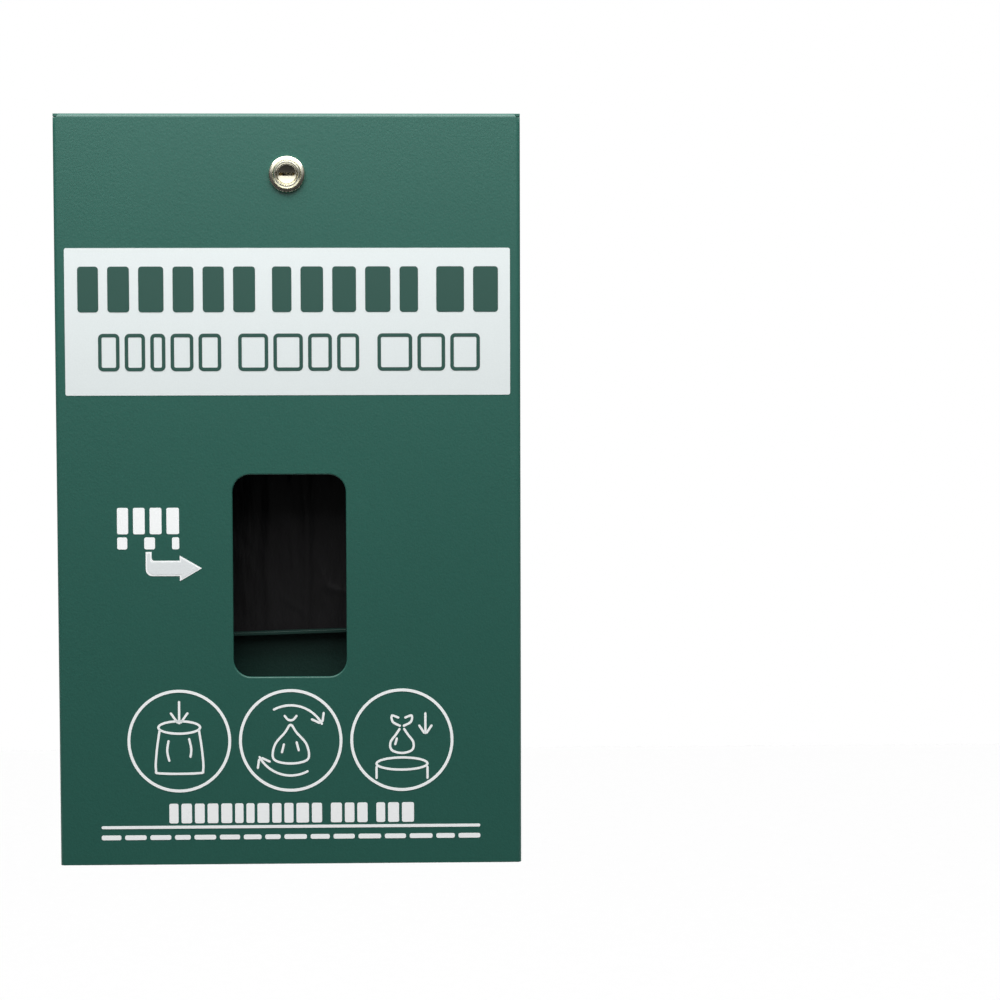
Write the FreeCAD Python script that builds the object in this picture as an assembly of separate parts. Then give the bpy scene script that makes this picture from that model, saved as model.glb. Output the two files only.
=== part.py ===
"""Wall-mounted dog waste bag dispenser: a folded rear housing with a tray for the bags, a folded front
cover that drops forward on two pivot pins, a keyed cam lock, and a refill of tie-handle bags on a stud.

Millimetres. +Z is up, +X is to the right of someone facing the cover, and the cover faces -Y.
The origin is the centre of the flat back, in the plane of the wall.
"""

import FreeCAD
import Part
import math
import os

V = FreeCAD.Vector
SIDES = (-1, 1)
TINY = 1e-4

# Overall size
WIDTH = 235.0
HEIGHT = 381.0
DEPTH = 76.0

# Sheet metal
SHEET = 1.5
BEND_OUTSIDE = 2.2
BEND_INSIDE = BEND_OUTSIDE - SHEET
SEAM = 0.4
CUT_OVER = 1.0

# Cover
COVER_TO_WALL = 3.0
SIDE_GAP = 1.6
TOP_GAP = 1.5
FACE_GAP = 0.4
RELIEF_WIDTH = 3.2
RELIEF_HEIGHT = 5.2
OPENING_WIDTH = 57.5
OPENING_HEIGHT = 103.0
OPENING_RADIUS = 9.0
OPENING_TO_BOTTOM = 96.0
OPENING_EDGE = 0.7

# Pivots at the foot of the cover
PIVOT_TO_FACE = 9.0
PIVOT_TO_BOTTOM = 9.0
PIN_RADIUS = 2.5
PIN_HEAD_RADIUS = 3.5
PIN_RUNNING = 0.05
PIN_TAIL = 3.4
WASHER_TO_EDGE = 1.1
WASHER_PLAY = 0.1
CLIP_RADIUS = 4.6
CLIP_THICKNESS = 0.6
CLIP_GROOVE_RADIUS = 1.9
CLIP_PLAY = 0.1
CLIP_MOUTH_DEG = 80.0

# Rear housing
STRIKE_TO_FACE = 18.0
STRIKE_TO_CAM = 7.2
WALL_HOLE_RADIUS = 3.6
POST_HOLE_RADIUS = 4.4
HOLES_TO_SIDE = 25.5
HOLES_TO_END = 90.5

# Bag tray
TRAY_TO_FACE = 30.0
TRAY_PLAY = 0.3
TRAY_LIP_HEIGHT = 117.0
TRAY_LIP_FORWARD = 8.0
TRAY_LIP_SLOPE_DEG = 1.7
TRAY_LIP_OVERLAP = 32.0
TRAY_REAR_TAB = 16.0
TRAY_SIDE_TAB = 15.0
TRAY_SIDE_TAB_END = 12.0
DRAIN_RADIUS = 3.0
DRAIN_PITCH = 70.0

# Rivets that hold the tray between the housing's sides
RIVET_RADIUS = 1.6
RIVET_HEAD_RADIUS = 3.2
RIVET_HEAD_TOP_RADIUS = 1.9
RIVET_HEAD = 0.8
RIVET_TAIL_RADIUS = 2.6
RIVET_TAIL = 1.8
RIVET_TAIL_EDGE = 0.6
RIVET_PITCH = 60.0

# Cam lock. Its bezel is drawn by (share of the rim's width, share of the head's height) points.
LOCK_TO_TOP = 30.7
LOCK_HEAD_RADIUS = 9.2
LOCK_HEAD_HEIGHT = 2.6
LOCK_SHOULDER = 1.3
LOCK_FLAT_DEPTH = 1.0
LOCK_HOLE_CLEARANCE = 0.15
LOCK_WALL = 3.2
BEZEL = [(1.0, 0.35), (0.94, 0.58), (0.8, 0.71), (0.52, 0.77), (0.47, 0.65), (0.41, 0.79), (0.27, 1.0)]
BEZEL_CHAMFER = 0.5
THREAD_PITCH = 1.0
THREAD_DEPTH = 0.45
THREAD_CLEARANCE = 0.05
LOCK_NUT_FLATS = 21.0
LOCK_NUT_HEIGHT = 4.0
LOCK_NUT_CHAMFER = 1.0
LOCK_WASHER_RADIUS = 11.6
LOCK_WASHER_THICKNESS = 1.0
LOCK_WASHER_TEETH = 16
LOCK_TOOTH_DEPTH = 1.4
LOCK_TOOTH_GAP = 1.2
PLUG_SHOULDER = 0.5
PLUG_HEAD = 1.6
PLUG_EDGE = 0.3
PLUG_DISH = 0.7
PLUG_RIM = 0.5
PLUG_RUNNING = 0.05
PLUG_BELOW_BEZEL = 1.1
KEYWAY_WIDTH = 8.0
KEYWAY_HEIGHT = 1.7
KEYWAY_DEPTH = 15.5
WAFERS = 5
WAFER_PITCH = 2.4
WAFER_THICKNESS = 0.9
WAFER_WIDTH = 4.6
WAFER_PLAY = 0.1
WAFER_RIM = 1.1
CAM_TO_STRIKE = 1.0
CAM_TO_TOP = 1.2
CAM_TO_BARREL = 0.2
CAM_THICKNESS = 2.0
CAM_WIDTH = 13.0
CAM_CORNER = 2.0
CAM_SQUARE = 5.5
CAM_SQUARE_PLAY = 0.1
CAM_WASHER_RADIUS = 4.6
CAM_WASHER_THICKNESS = 0.8
CAM_WASHER_SPLIT = 0.6
CAM_SCREW_RADIUS = 1.95
CAM_SCREW_CLEARANCE = 0.1
CAM_SCREW_HEAD_RADIUS = 3.6
CAM_SCREW_HEAD = 2.2
CAM_SCREW_LENGTH = 7.0
SCREW_SLOT_WIDTH = 1.0
SCREW_SLOT_LENGTH = 4.8
SCREW_SLOT_DEPTH = 1.1

# Bag hanger. The wing is drawn by (share of its span, share of its rise, corner radius) points.
STUD_RADIUS = 3.0
STUD_LENGTH = 38.0
STUD_CHAMFER = 0.8
STUD_BASE_RADIUS = 5.0
STUD_BASE = 1.0
SPACER_RADIUS = 8.0
SPACER_LENGTH = 4.5
STUD_CLEARANCE = 0.2
CLAMP_RADIUS = 12.0
CLAMP_THICKNESS = 1.5
CLAMP_EDGE = 0.4
NUT_HUB_RADIUS = 5.4
NUT_TOP_RADIUS = 4.3
NUT_HEIGHT = 8.0
WING_SPAN = 15.0
WING_RISE = 13.0
WING_THICKNESS = 2.2
WING = [
    (0.24, 0.06, 0),
    (0.36, 0.06, 0),
    (1.0, 0.38, 2.5),
    (1.0, 1.0, 3.4),
    (0.49, 1.0, 3.0),
    (0.31, 0.58, 0),
    (0.24, 0.58, 0),
]

# Bag refill
BAG_WIDTH = 150.0
BAG_HANDLE = 105.0
BAG_HANDLE_WIDTH = 33.0
BAG_TO_TRAY = 8.5
BAG_TO_TOP = 34.6
BAG_PACK_THICKNESS = 14.0
BAG_TAB_THICKNESS = 8.0
BAG_TAB_BACK = 1.0
BAG_TAB_HEAD_RADIUS = 14.0
BAG_TAB_NECK = 22.0
BAG_TAB_HEIGHT = 37.0
BAG_NOTCH_RADIUS = 11.0
BAG_HOLE_CLEARANCE = 0.4

# Printed films on the cover
FILM = 0.15
SIGN_MARGIN = 5.25
SIGN_HEIGHT = 74.2
SIGN_TO_TOP = 67.6
SIGN_RADIUS = 1.0
ARROW_TO_OPENING = 15.6
ARROW_LENGTH = 28.4
ARROW_TO_TOP = 229.4
ARROW_HEAD_LENGTH = 11.2
ARROW_HEAD_HALF = 6.5
ARROW_SHAFT_HALF = 3.9
ARROW_TAIL_RISE = 8.4
ARROW_TAIL_WIDTH = 3.0
ARROW_OUTER_BEND = 3.4
ARROW_INNER_BEND = 1.4
RING_RADIUS = 26.3
RING_STROKE = 1.45
RING_PITCH = 56.6
RINGS_TO_TOP = 317.6

# Places that follow from the sizes above
BOTTOM = -HEIGHT / 2
TOP = HEIGHT / 2
FACE = -DEPTH
FACE_INSIDE = FACE + SHEET
PIVOT_Y = FACE + PIVOT_TO_FACE
PIVOT_Z = BOTTOM + PIVOT_TO_BOTTOM
EDGE_TO_PIVOT = PIVOT_TO_FACE - SHEET - FACE_GAP
HOUSING_HALF = WIDTH / 2 - SHEET - SIDE_GAP
HOUSING_INSIDE = HOUSING_HALF - SHEET
HOUSING_BOTTOM = PIVOT_Z - EDGE_TO_PIVOT
HOUSING_TOP = TOP - SHEET - TOP_GAP
HOUSING_FRONT = PIVOT_Y - EDGE_TO_PIVOT
HOUSING_LID = HOUSING_TOP - SHEET
TRAY_HALF = HOUSING_INSIDE - TRAY_PLAY
TRAY_FRONT = FACE + TRAY_TO_FACE
TRAY_LIP_Z = BOTTOM + TRAY_LIP_HEIGHT
WASHER_RADIUS = EDGE_TO_PIVOT - WASHER_TO_EDGE
CLIP_HIGH = HOUSING_INSIDE - CLIP_PLAY
CLIP_LOW = CLIP_HIGH - CLIP_THICKNESS
LOCK_Z = TOP - LOCK_TO_TOP
LOCK_BODY_RADIUS = LOCK_HEAD_RADIUS - LOCK_SHOULDER
LOCK_FLAT_HALF = LOCK_BODY_RADIUS - LOCK_FLAT_DEPTH
PLUG_RADIUS = LOCK_BODY_RADIUS - LOCK_WALL
PLUG_HEAD_RADIUS = PLUG_RADIUS + PLUG_SHOULDER
STRIKE_FRONT = FACE + STRIKE_TO_FACE
STRIKE_BACK = STRIKE_FRONT + SHEET
STRIKE_LOW = LOCK_Z + CAM_WIDTH / 2 + STRIKE_TO_CAM
CAM_LENGTH = HOUSING_LID - CAM_TO_TOP - LOCK_Z
STUD_Z_TO_NOTCH = BAG_TAB_HEIGHT - BAG_TAB_HEAD_RADIUS
BAG_BOTTOM = HOUSING_BOTTOM + SHEET + BAG_TO_TRAY
BAG_TOP = HOUSING_LID - BAG_TO_TOP
BAG_NOTCH_Z = BAG_TOP - BAG_HANDLE
STUD_Z = BAG_NOTCH_Z + STUD_Z_TO_NOTCH
TAB_BACK = -SHEET - STUD_BASE - SPACER_LENGTH
TAB_FRONT = TAB_BACK - BAG_TAB_THICKNESS
PACK_BACK = TAB_BACK + BAG_TAB_BACK
PACK_FRONT = PACK_BACK - BAG_PACK_THICKNESS

# Heights inside the lock, measured outwards from the cover's face
PLUG_FACE = LOCK_HEAD_HEIGHT - PLUG_BELOW_BEZEL
PLUG_SEAT = PLUG_FACE - PLUG_HEAD
CAM_HIGH = FACE - STRIKE_BACK - CAM_TO_STRIKE
BARREL_END = CAM_HIGH + CAM_TO_BARREL
CAM_LOW = CAM_HIGH - CAM_THICKNESS
SCREW_SEAT = CAM_LOW - CAM_WASHER_THICKNESS


# ---------------------------------------------------------------- shape helpers

def block(x, y, z):
    """A box from three (low, high) pairs, each in either order."""
    (x0, x1), (y0, y1), (z0, z1) = sorted(x), sorted(y), sorted(z)
    return Part.makeBox(x1 - x0, y1 - y0, z1 - z0, V(x0, y0, z0))


def rod(radius, start, end):
    """A round bar between two points."""
    start, end = V(*start), V(*end)
    return Part.makeCylinder(radius, (end - start).Length, start, end - start)


def tube(outer, inner, start, end):
    return rod(outer, start, end).cut(rod(inner, start, end))


def fuse(shapes):
    return shapes[0].fuse(shapes[1:]).removeSplitter()


def rounded_wire(corners, place):
    """A closed wire through (u, v, radius) corners. place() turns a flat point into one in space."""
    arcs = []
    count = len(corners)
    for i, (u, v, radius) in enumerate(corners):
        here = V(u, v, 0)
        if radius <= 0:
            arcs.append((here, None, here))
            continue
        back = V(*corners[i - 1][:2], 0) - here
        ahead = V(*corners[(i + 1) % count][:2], 0) - here
        back.normalize()
        ahead.normalize()
        half = back.getAngle(ahead) / 2
        reach = radius / math.tan(half)
        middle = back + ahead
        middle.normalize()
        depth = radius / math.sin(half) - radius
        arcs.append((here + back * reach, here + middle * depth, here + ahead * reach))
    edges = []
    for i, (first, middle, last) in enumerate(arcs):
        if middle is not None:
            edges.append(Part.Arc(place(first), place(middle), place(last)).toShape())
        following = arcs[(i + 1) % count][0]
        if (following - last).Length > TINY:
            edges.append(Part.LineSegment(place(last), place(following)).toShape())
    return Part.Wire(edges)


def front_plate(corners, back, front):
    """An outline drawn in X and Z, as thick as the step from its back to its front."""
    wire = rounded_wire(corners, lambda p: V(p.x, back, p.y))
    return Part.Face(wire).extrude(V(0, front - back, 0))


def side_profile(corners, start, run):
    """An outline drawn in Y and Z at one x, and swept along a straight run."""
    wire = rounded_wire(corners, lambda p: V(start, p.x, p.y))
    return Part.Face(wire).extrude(run)


def rectangle(half_width, low, high, radius):
    return [
        (-half_width, low, radius),
        (half_width, low, radius),
        (half_width, high, radius),
        (-half_width, high, radius),
    ]


def turned(profile):
    """A solid turned about local Z from (radius, z) points."""
    points = [V(r, 0, z) for r, z in profile]
    wire = Part.makePolygon(points + [points[0]])
    return Part.Face(wire).revolve(V(0, 0, 0), V(0, 0, 1), 360)


def disc(radius, low, high):
    """A round plate about local Z."""
    return Part.makeCylinder(radius, high - low, V(0, 0, low))


def thread(radius, low, high):
    """(radius, z) points of ring grooves that stand for a thread, upwards from low to high."""
    turns = int((high - low) / THREAD_PITCH)
    start = high - turns * THREAD_PITCH
    points = [(radius, start)]
    for i in range(turns):
        z = start + i * THREAD_PITCH
        points.append((radius - THREAD_DEPTH, z + THREAD_PITCH / 2))
        points.append((radius, z + THREAD_PITCH))
    return points


def facing_out(shape, y, z):
    """Stands a local shape on the line x = 0 at height z, its local +Z pointing out of the cover."""
    shape = shape.copy()
    shape.rotate(V(0, 0, 0), V(1, 0, 0), 90)
    shape.translate(V(0, y, z))
    return shape


def near(a, b):
    return abs(a - b) < TINY


def round_edges(shape, radius, wanted):
    """Rounds the edges whose middle point passes the test."""
    def middle(edge):
        return edge.valueAt((edge.FirstParameter + edge.LastParameter) / 2)

    return shape.makeFillet(radius, [edge for edge in shape.Edges if wanted(middle(edge))])


# ---------------------------------------------------------------- sheet metal

def folded_block(half, y, low, high, bend_y, radius):
    """A block whose upright and top edges at bend_y are rounded like a bend."""
    return round_edges(
        block((-half, half), y, (low, high)),
        radius,
        lambda p: near(p.y, bend_y) and (near(abs(p.x), half) or near(p.z, high)),
    )


def pan(half, closed, rim, low, high):
    """A folded pan: one closed face at y = closed, two sides and a top as far as rim, and no foot."""
    inward = math.copysign(1, rim - closed)
    inside = closed + inward * SHEET
    outer = folded_block(half, (closed, rim), low, high, closed, BEND_OUTSIDE)
    hollow = folded_block(
        half - SHEET,
        (inside, rim + inward * CUT_OVER),
        low - CUT_OVER,
        high - SHEET,
        inside,
        BEND_INSIDE,
    )
    seam_start = closed + inward * BEND_OUTSIDE
    seams = [
        block(
            (side * (half - SHEET), side * (half + CUT_OVER)),
            (seam_start, rim + inward * CUT_OVER),
            (high - SHEET - SEAM, high - SHEET),
        )
        for side in SIDES
    ]
    return outer.cut([hollow, *seams])


def front_cover():
    half = WIDTH / 2
    cover = pan(half, FACE, -COVER_TO_WALL, BOTTOM, TOP)
    cuts = [pull_opening(), lock_hole()]
    for side in SIDES:
        cuts.append(corner_relief(side))
        through = along_pivot(side, half - SHEET - CUT_OVER, half + CUT_OVER)
        cuts.append(rod(PIN_HEAD_RADIUS, *through))
    return round_edges(cover.cut(cuts).removeSplitter(), OPENING_EDGE, on_opening_rim)


def corner_relief(side):
    """The small slanted notch where the cover's top and side bends meet."""
    edge = side * WIDTH / 2
    beyond = edge + side * CUT_OVER
    notch_x = edge - side * RELIEF_WIDTH
    relief = [
        (beyond, TOP - RELIEF_HEIGHT, 0),
        (edge, TOP - RELIEF_HEIGHT, 0),
        (notch_x, TOP, 0),
        (notch_x, TOP + CUT_OVER, 0),
        (beyond, TOP + CUT_OVER, 0),
    ]
    return front_plate(relief, FACE - CUT_OVER, FACE + BEND_OUTSIDE)


def pull_opening():
    low = BOTTOM + OPENING_TO_BOTTOM
    outline = rectangle(OPENING_WIDTH / 2, low, low + OPENING_HEIGHT, OPENING_RADIUS)
    return front_plate(outline, FACE - CUT_OVER, FACE_INSIDE + CUT_OVER)


def on_opening_rim(p):
    """True for a point on the pull opening's front edge."""
    low = BOTTOM + OPENING_TO_BOTTOM
    across = abs(p.x) < OPENING_WIDTH / 2 + TINY
    return near(p.y, FACE) and across and low - TINY < p.z < low + OPENING_HEIGHT + TINY


def lock_hole():
    """The hole with two flats that keeps the lock from turning."""
    radius = LOCK_BODY_RADIUS + LOCK_HOLE_CLEARANCE
    half = LOCK_FLAT_HALF + LOCK_HOLE_CLEARANCE
    y = (FACE - CUT_OVER, FACE_INSIDE + CUT_OVER)
    hole = rod(radius, (0, y[0], LOCK_Z), (0, y[1], LOCK_Z))
    return hole.common(block((-half, half), y, (LOCK_Z - 2 * radius, LOCK_Z + 2 * radius)))


def rear_housing():
    housing = pan(HOUSING_HALF, 0, HOUSING_FRONT, HOUSING_BOTTOM, HOUSING_TOP)
    beyond = HOUSING_HALF + CUT_OVER
    top_front = block(
        (-beyond, beyond),
        (HOUSING_FRONT - CUT_OVER, STRIKE_FRONT),
        (HOUSING_LID - SEAM, HOUSING_TOP + CUT_OVER),
    )
    pivot_line = (-beyond, PIVOT_Y, PIVOT_Z), (beyond, PIVOT_Y, PIVOT_Z)
    corner = block(
        (-beyond, beyond),
        (HOUSING_FRONT - CUT_OVER, PIVOT_Y),
        (HOUSING_BOTTOM - CUT_OVER, PIVOT_Z),
    )
    swing_clearance = corner.cut(rod(EDGE_TO_PIVOT, *pivot_line))
    pivot_holes = rod(PIN_RADIUS + PIN_RUNNING, *pivot_line)
    cuts = [top_front, swing_clearance, pivot_holes, *mounting_holes(), *rivet_holes()]
    return fuse([housing.cut(cuts), strike_lip()])


def mounting_holes():
    """Four wall holes at the corners of a rectangle, and two post holes on the centre line."""
    x = WIDTH / 2 - HOLES_TO_SIDE
    z = HEIGHT / 2 - HOLES_TO_END
    places = [(side * x, end * z, WALL_HOLE_RADIUS) for side in SIDES for end in SIDES]
    places += [(0, end * z, POST_HOLE_RADIUS) for end in SIDES]
    return [
        rod(radius, (x, -SHEET - CUT_OVER, z), (x, CUT_OVER, z)) for x, z, radius in places
    ]


def strike_lip():
    """The front of the housing's top, turned down so that the cam can catch behind it."""
    half = HOUSING_INSIDE - SEAM
    bend_end = STRIKE_BACK + BEND_OUTSIDE
    corners = [
        (STRIKE_FRONT, STRIKE_LOW, 0),
        (STRIKE_BACK, STRIKE_LOW, 0),
        (STRIKE_BACK, HOUSING_LID, BEND_INSIDE),
        (bend_end, HOUSING_LID, 0),
        (bend_end, HOUSING_TOP, 0),
        (STRIKE_FRONT, HOUSING_TOP, 0),
    ]
    return side_profile(corners, -half, V(2 * half, 0, 0))


def bag_tray():
    """A folded tray: a floor, a front wall whose sloping top edge turns forward, and side tabs.

    Its rear corners are notched to clear the housing's inside bends.
    """
    tray = fuse([tray_floor_and_wall(), tray_lip(), *[tray_side_tab(side) for side in SIDES]])
    middle = (TRAY_FRONT - SHEET) / 2
    drains = [
        rod(
            DRAIN_RADIUS,
            (x, middle, HOUSING_BOTTOM - CUT_OVER),
            (x, middle, HOUSING_BOTTOM + SHEET + CUT_OVER),
        )
        for x in (-DRAIN_PITCH, 0, DRAIN_PITCH)
    ]
    rear_corners = [
        block(
            (side * (HOUSING_INSIDE - BEND_OUTSIDE), side * (TRAY_HALF + CUT_OVER)),
            (-SHEET - BEND_OUTSIDE, 0),
            (HOUSING_BOTTOM - CUT_OVER, HOUSING_BOTTOM + TRAY_REAR_TAB + CUT_OVER),
        )
        for side in SIDES
    ]
    return tray.cut([*drains, *rear_corners, *rivet_holes()])


def tray_floor_and_wall():
    """The floor, the tab up the housing's back and the lower part of the front wall."""
    low, rear = HOUSING_BOTTOM, -SHEET
    inside = TRAY_FRONT + SHEET
    wall_top = TRAY_LIP_Z - TRAY_LIP_OVERLAP
    corners = [
        (rear, low + TRAY_REAR_TAB, 0),
        (rear, low, BEND_OUTSIDE),
        (TRAY_FRONT, low, BEND_OUTSIDE),
        (TRAY_FRONT, wall_top, 0),
        (inside, wall_top, 0),
        (inside, low + SHEET, BEND_INSIDE),
        (rear - SHEET, low + SHEET, BEND_INSIDE),
        (rear - SHEET, low + TRAY_REAR_TAB, 0),
    ]
    return side_profile(corners, -TRAY_HALF, V(2 * TRAY_HALF, 0, 0))


def tray_lip():
    """The upper part of the front wall with its forward flange, rising a little from left to right."""
    rise = TRAY_HALF * math.tan(math.radians(TRAY_LIP_SLOPE_DEG))
    top = TRAY_LIP_Z - rise
    foot = top - TRAY_LIP_OVERLAP - rise
    tip = TRAY_FRONT - TRAY_LIP_FORWARD
    corners = [
        (TRAY_FRONT, foot, 0),
        (TRAY_FRONT, top - SHEET, BEND_INSIDE),
        (tip, top - SHEET, 0),
        (tip, top, 0),
        (TRAY_FRONT + SHEET, top, BEND_OUTSIDE),
        (TRAY_FRONT + SHEET, foot, 0),
    ]
    return side_profile(corners, -TRAY_HALF, V(2 * TRAY_HALF, 0, 2 * rise))


def tray_side_tab(side):
    return block(
        (side * TRAY_HALF, side * (TRAY_HALF - SHEET)),
        (TRAY_FRONT, TRAY_FRONT + TRAY_SIDE_TAB),
        (HOUSING_BOTTOM + TRAY_SIDE_TAB_END, TRAY_LIP_Z - 2 * TRAY_SIDE_TAB_END),
    )


# ---------------------------------------------------------------- rivets between tray and housing

def rivet_places():
    """(side, y, z) of each rivet through the tray's side tabs."""
    y = TRAY_FRONT + (BEND_OUTSIDE + TRAY_SIDE_TAB) / 2
    middle = (HOUSING_BOTTOM + TRAY_LIP_Z) / 2
    return [(side, y, middle + row * RIVET_PITCH / 2) for side in SIDES for row in SIDES]


def rivet_holes():
    beyond = HOUSING_HALF + CUT_OVER
    inner = TRAY_HALF - SHEET - CUT_OVER
    return [
        rod(RIVET_RADIUS, (side * inner, y, z), (side * beyond, y, z))
        for side, y, z in rivet_places()
    ]


def tray_rivets():
    """Blind rivets: a low head outside the housing and a formed tail inside the tray's tab."""
    return Part.makeCompound([tray_rivet(*place) for place in rivet_places()])


def tray_rivet(side, y, z):
    seat = side * HOUSING_HALF
    grip_end = side * (TRAY_HALF - SHEET)
    tail_end = grip_end - side * RIVET_TAIL
    head = Part.makeCone(
        RIVET_HEAD_RADIUS, RIVET_HEAD_TOP_RADIUS, RIVET_HEAD, V(seat, y, z), V(side, 0, 0)
    )
    shank = rod(RIVET_RADIUS, (seat, y, z), (grip_end, y, z))
    tail = rod(RIVET_TAIL_RADIUS, (grip_end, y, z), (tail_end, y, z))
    tail = round_edges(tail, RIVET_TAIL_EDGE, lambda p: near(p.x, tail_end))
    return fuse([head, shank, tail])


# ---------------------------------------------------------------- pivots

def along_pivot(side, start, end):
    """Two points on the pivot's axis, as distances from the middle of the object."""
    return (side * start, PIVOT_Y, PIVOT_Z), (side * end, PIVOT_Y, PIVOT_Z)


def hinge_pin(side):
    """A pin clinched flush into the cover's side, with a groove for its clip."""
    seat = WIDTH / 2 - SHEET
    head = rod(PIN_HEAD_RADIUS, *along_pivot(side, seat, WIDTH / 2))
    shank = rod(PIN_RADIUS, *along_pivot(side, HOUSING_INSIDE - PIN_TAIL, seat))
    groove = tube(
        PIN_RADIUS + CUT_OVER,
        CLIP_GROOVE_RADIUS,
        *along_pivot(side, CLIP_LOW - CLIP_PLAY, CLIP_HIGH + CLIP_PLAY),
    )
    return fuse([head, shank]).cut(groove)


def hinge_washer(side):
    return tube(
        WASHER_RADIUS,
        PIN_RADIUS + WASHER_PLAY,
        *along_pivot(side, HOUSING_HALF + WASHER_PLAY, WIDTH / 2 - SHEET - WASHER_PLAY),
    )


def hinge_clip(side):
    """A spring clip in the pin's groove, open on its lower side."""
    inner = CLIP_GROOVE_RADIUS + PIN_RUNNING
    ring = tube(CLIP_RADIUS, inner, *along_pivot(side, CLIP_LOW, CLIP_HIGH))
    reach = 2 * CLIP_RADIUS
    spread = reach * math.tan(math.radians(CLIP_MOUTH_DEG / 2))
    mouth = [
        (PIVOT_Y, PIVOT_Z, 0),
        (PIVOT_Y - spread, PIVOT_Z - reach, 0),
        (PIVOT_Y + spread, PIVOT_Z - reach, 0),
    ]
    start = side * (CLIP_LOW - CUT_OVER)
    length = CLIP_THICKNESS + 2 * CUT_OVER
    return ring.cut(side_profile(mouth, start, V(side * length, 0, 0)))


# ---------------------------------------------------------------- cam lock

def lock_part(shape):
    """Local z = 0 is the cover's face, and local +Z points out of it."""
    return facing_out(shape, FACE, LOCK_Z)


def lock_barrel():
    """The fixed barrel: a stepped bezel outside, and a threaded body with two flats inside."""
    bore = PLUG_RADIUS + PLUG_RUNNING
    mouth = PLUG_HEAD_RADIUS + PLUG_RUNNING
    rim = LOCK_HEAD_RADIUS - mouth
    bezel = [(mouth + share * rim, height * LOCK_HEAD_HEIGHT) for share, height in BEZEL]
    barrel = turned(
        [
            (bore, BARREL_END),
            (LOCK_BODY_RADIUS - THREAD_DEPTH, BARREL_END),
            *thread(LOCK_BODY_RADIUS, BARREL_END + THREAD_DEPTH, -SHEET),
            (LOCK_BODY_RADIUS, 0),
            (LOCK_HEAD_RADIUS, 0),
            *bezel,
            (mouth + BEZEL_CHAMFER, LOCK_HEAD_HEIGHT),
            (mouth, LOCK_HEAD_HEIGHT - BEZEL_CHAMFER),
            (mouth, PLUG_SEAT),
            (bore, PLUG_SEAT),
        ]
    )
    flats = [
        block(
            (side * LOCK_FLAT_HALF, side * LOCK_HEAD_RADIUS),
            (-LOCK_HEAD_RADIUS, LOCK_HEAD_RADIUS),
            (BARREL_END - CUT_OVER, 0),
        )
        for side in SIDES
    ]
    return lock_part(barrel.cut(flats))


def lock_washer():
    """A washer with outside teeth, between the cover and the nut."""
    high = -SHEET
    low = high - LOCK_WASHER_THICKNESS
    notches = [disc(LOCK_BODY_RADIUS + THREAD_CLEARANCE, low - CUT_OVER, high + CUT_OVER)]
    for i in range(LOCK_WASHER_TEETH):
        notch = block(
            (LOCK_WASHER_RADIUS - LOCK_TOOTH_DEPTH, LOCK_WASHER_RADIUS + CUT_OVER),
            (-LOCK_TOOTH_GAP / 2, LOCK_TOOTH_GAP / 2),
            (low - CUT_OVER, high + CUT_OVER),
        )
        notch.rotate(V(0, 0, 0), V(0, 0, 1), 360 * i / LOCK_WASHER_TEETH)
        notches.append(notch)
    return lock_part(disc(LOCK_WASHER_RADIUS, low, high).cut(notches))


def lock_nut():
    """A hexagon nut with its corners chamfered on both faces."""
    high = -SHEET - LOCK_WASHER_THICKNESS
    low = high - LOCK_NUT_HEIGHT
    corner = LOCK_NUT_FLATS / math.sqrt(3)
    angles = [math.radians(60 * i) for i in range(6)]
    points = [V(corner * math.cos(a), corner * math.sin(a), low) for a in angles]
    hexagon = Part.Face(Part.makePolygon(points + [points[0]])).extrude(V(0, 0, high - low))
    crown = turned(
        [
            (0, low),
            (corner - LOCK_NUT_CHAMFER, low),
            (corner, low + LOCK_NUT_CHAMFER / 2),
            (corner, high - LOCK_NUT_CHAMFER / 2),
            (corner - LOCK_NUT_CHAMFER, high),
            (0, high),
        ]
    )
    bore = disc(LOCK_BODY_RADIUS + THREAD_CLEARANCE, low - CUT_OVER, high + CUT_OVER)
    return lock_part(hexagon.common(crown).cut(bore))


def wafer_heights():
    """The local height of the middle of each wafer in the plug."""
    return [PLUG_SEAT - WAFER_PITCH * (i + 1) for i in range(WAFERS)]


def lock_plug():
    """The turning plug: a dished face, a keyway, slots for the wafers, and a square end for the cam."""
    head = disc(PLUG_HEAD_RADIUS, PLUG_SEAT, PLUG_FACE)
    head = round_edges(head, PLUG_EDGE, lambda p: near(p.z, PLUG_FACE))
    body = disc(PLUG_RADIUS, BARREL_END, PLUG_SEAT)
    half = CAM_SQUARE / 2
    square = block((-half, half), (-half, half), (CAM_LOW + CAM_SQUARE_PLAY, BARREL_END))
    cuts = [keyway(), dish(), disc(CAM_SCREW_RADIUS, CAM_LOW, SCREW_SEAT + CAM_SCREW_LENGTH + CUT_OVER)]
    slot = WAFER_WIDTH / 2 + WAFER_PLAY
    thick = WAFER_THICKNESS / 2 + WAFER_PLAY
    for z in wafer_heights():
        cuts.append(block((-PLUG_RADIUS, PLUG_RADIUS), (-slot, slot), (z - thick, z + thick)))
    return lock_part(fuse([head, body, square]).cut(cuts))


def dish():
    """A ball that hollows the plug's face inside a narrow rim."""
    reach = PLUG_HEAD_RADIUS - PLUG_RIM
    radius = (reach**2 + PLUG_DISH**2) / (2 * PLUG_DISH)
    return Part.makeSphere(radius, V(0, 0, PLUG_FACE - PLUG_DISH + radius))


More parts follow.
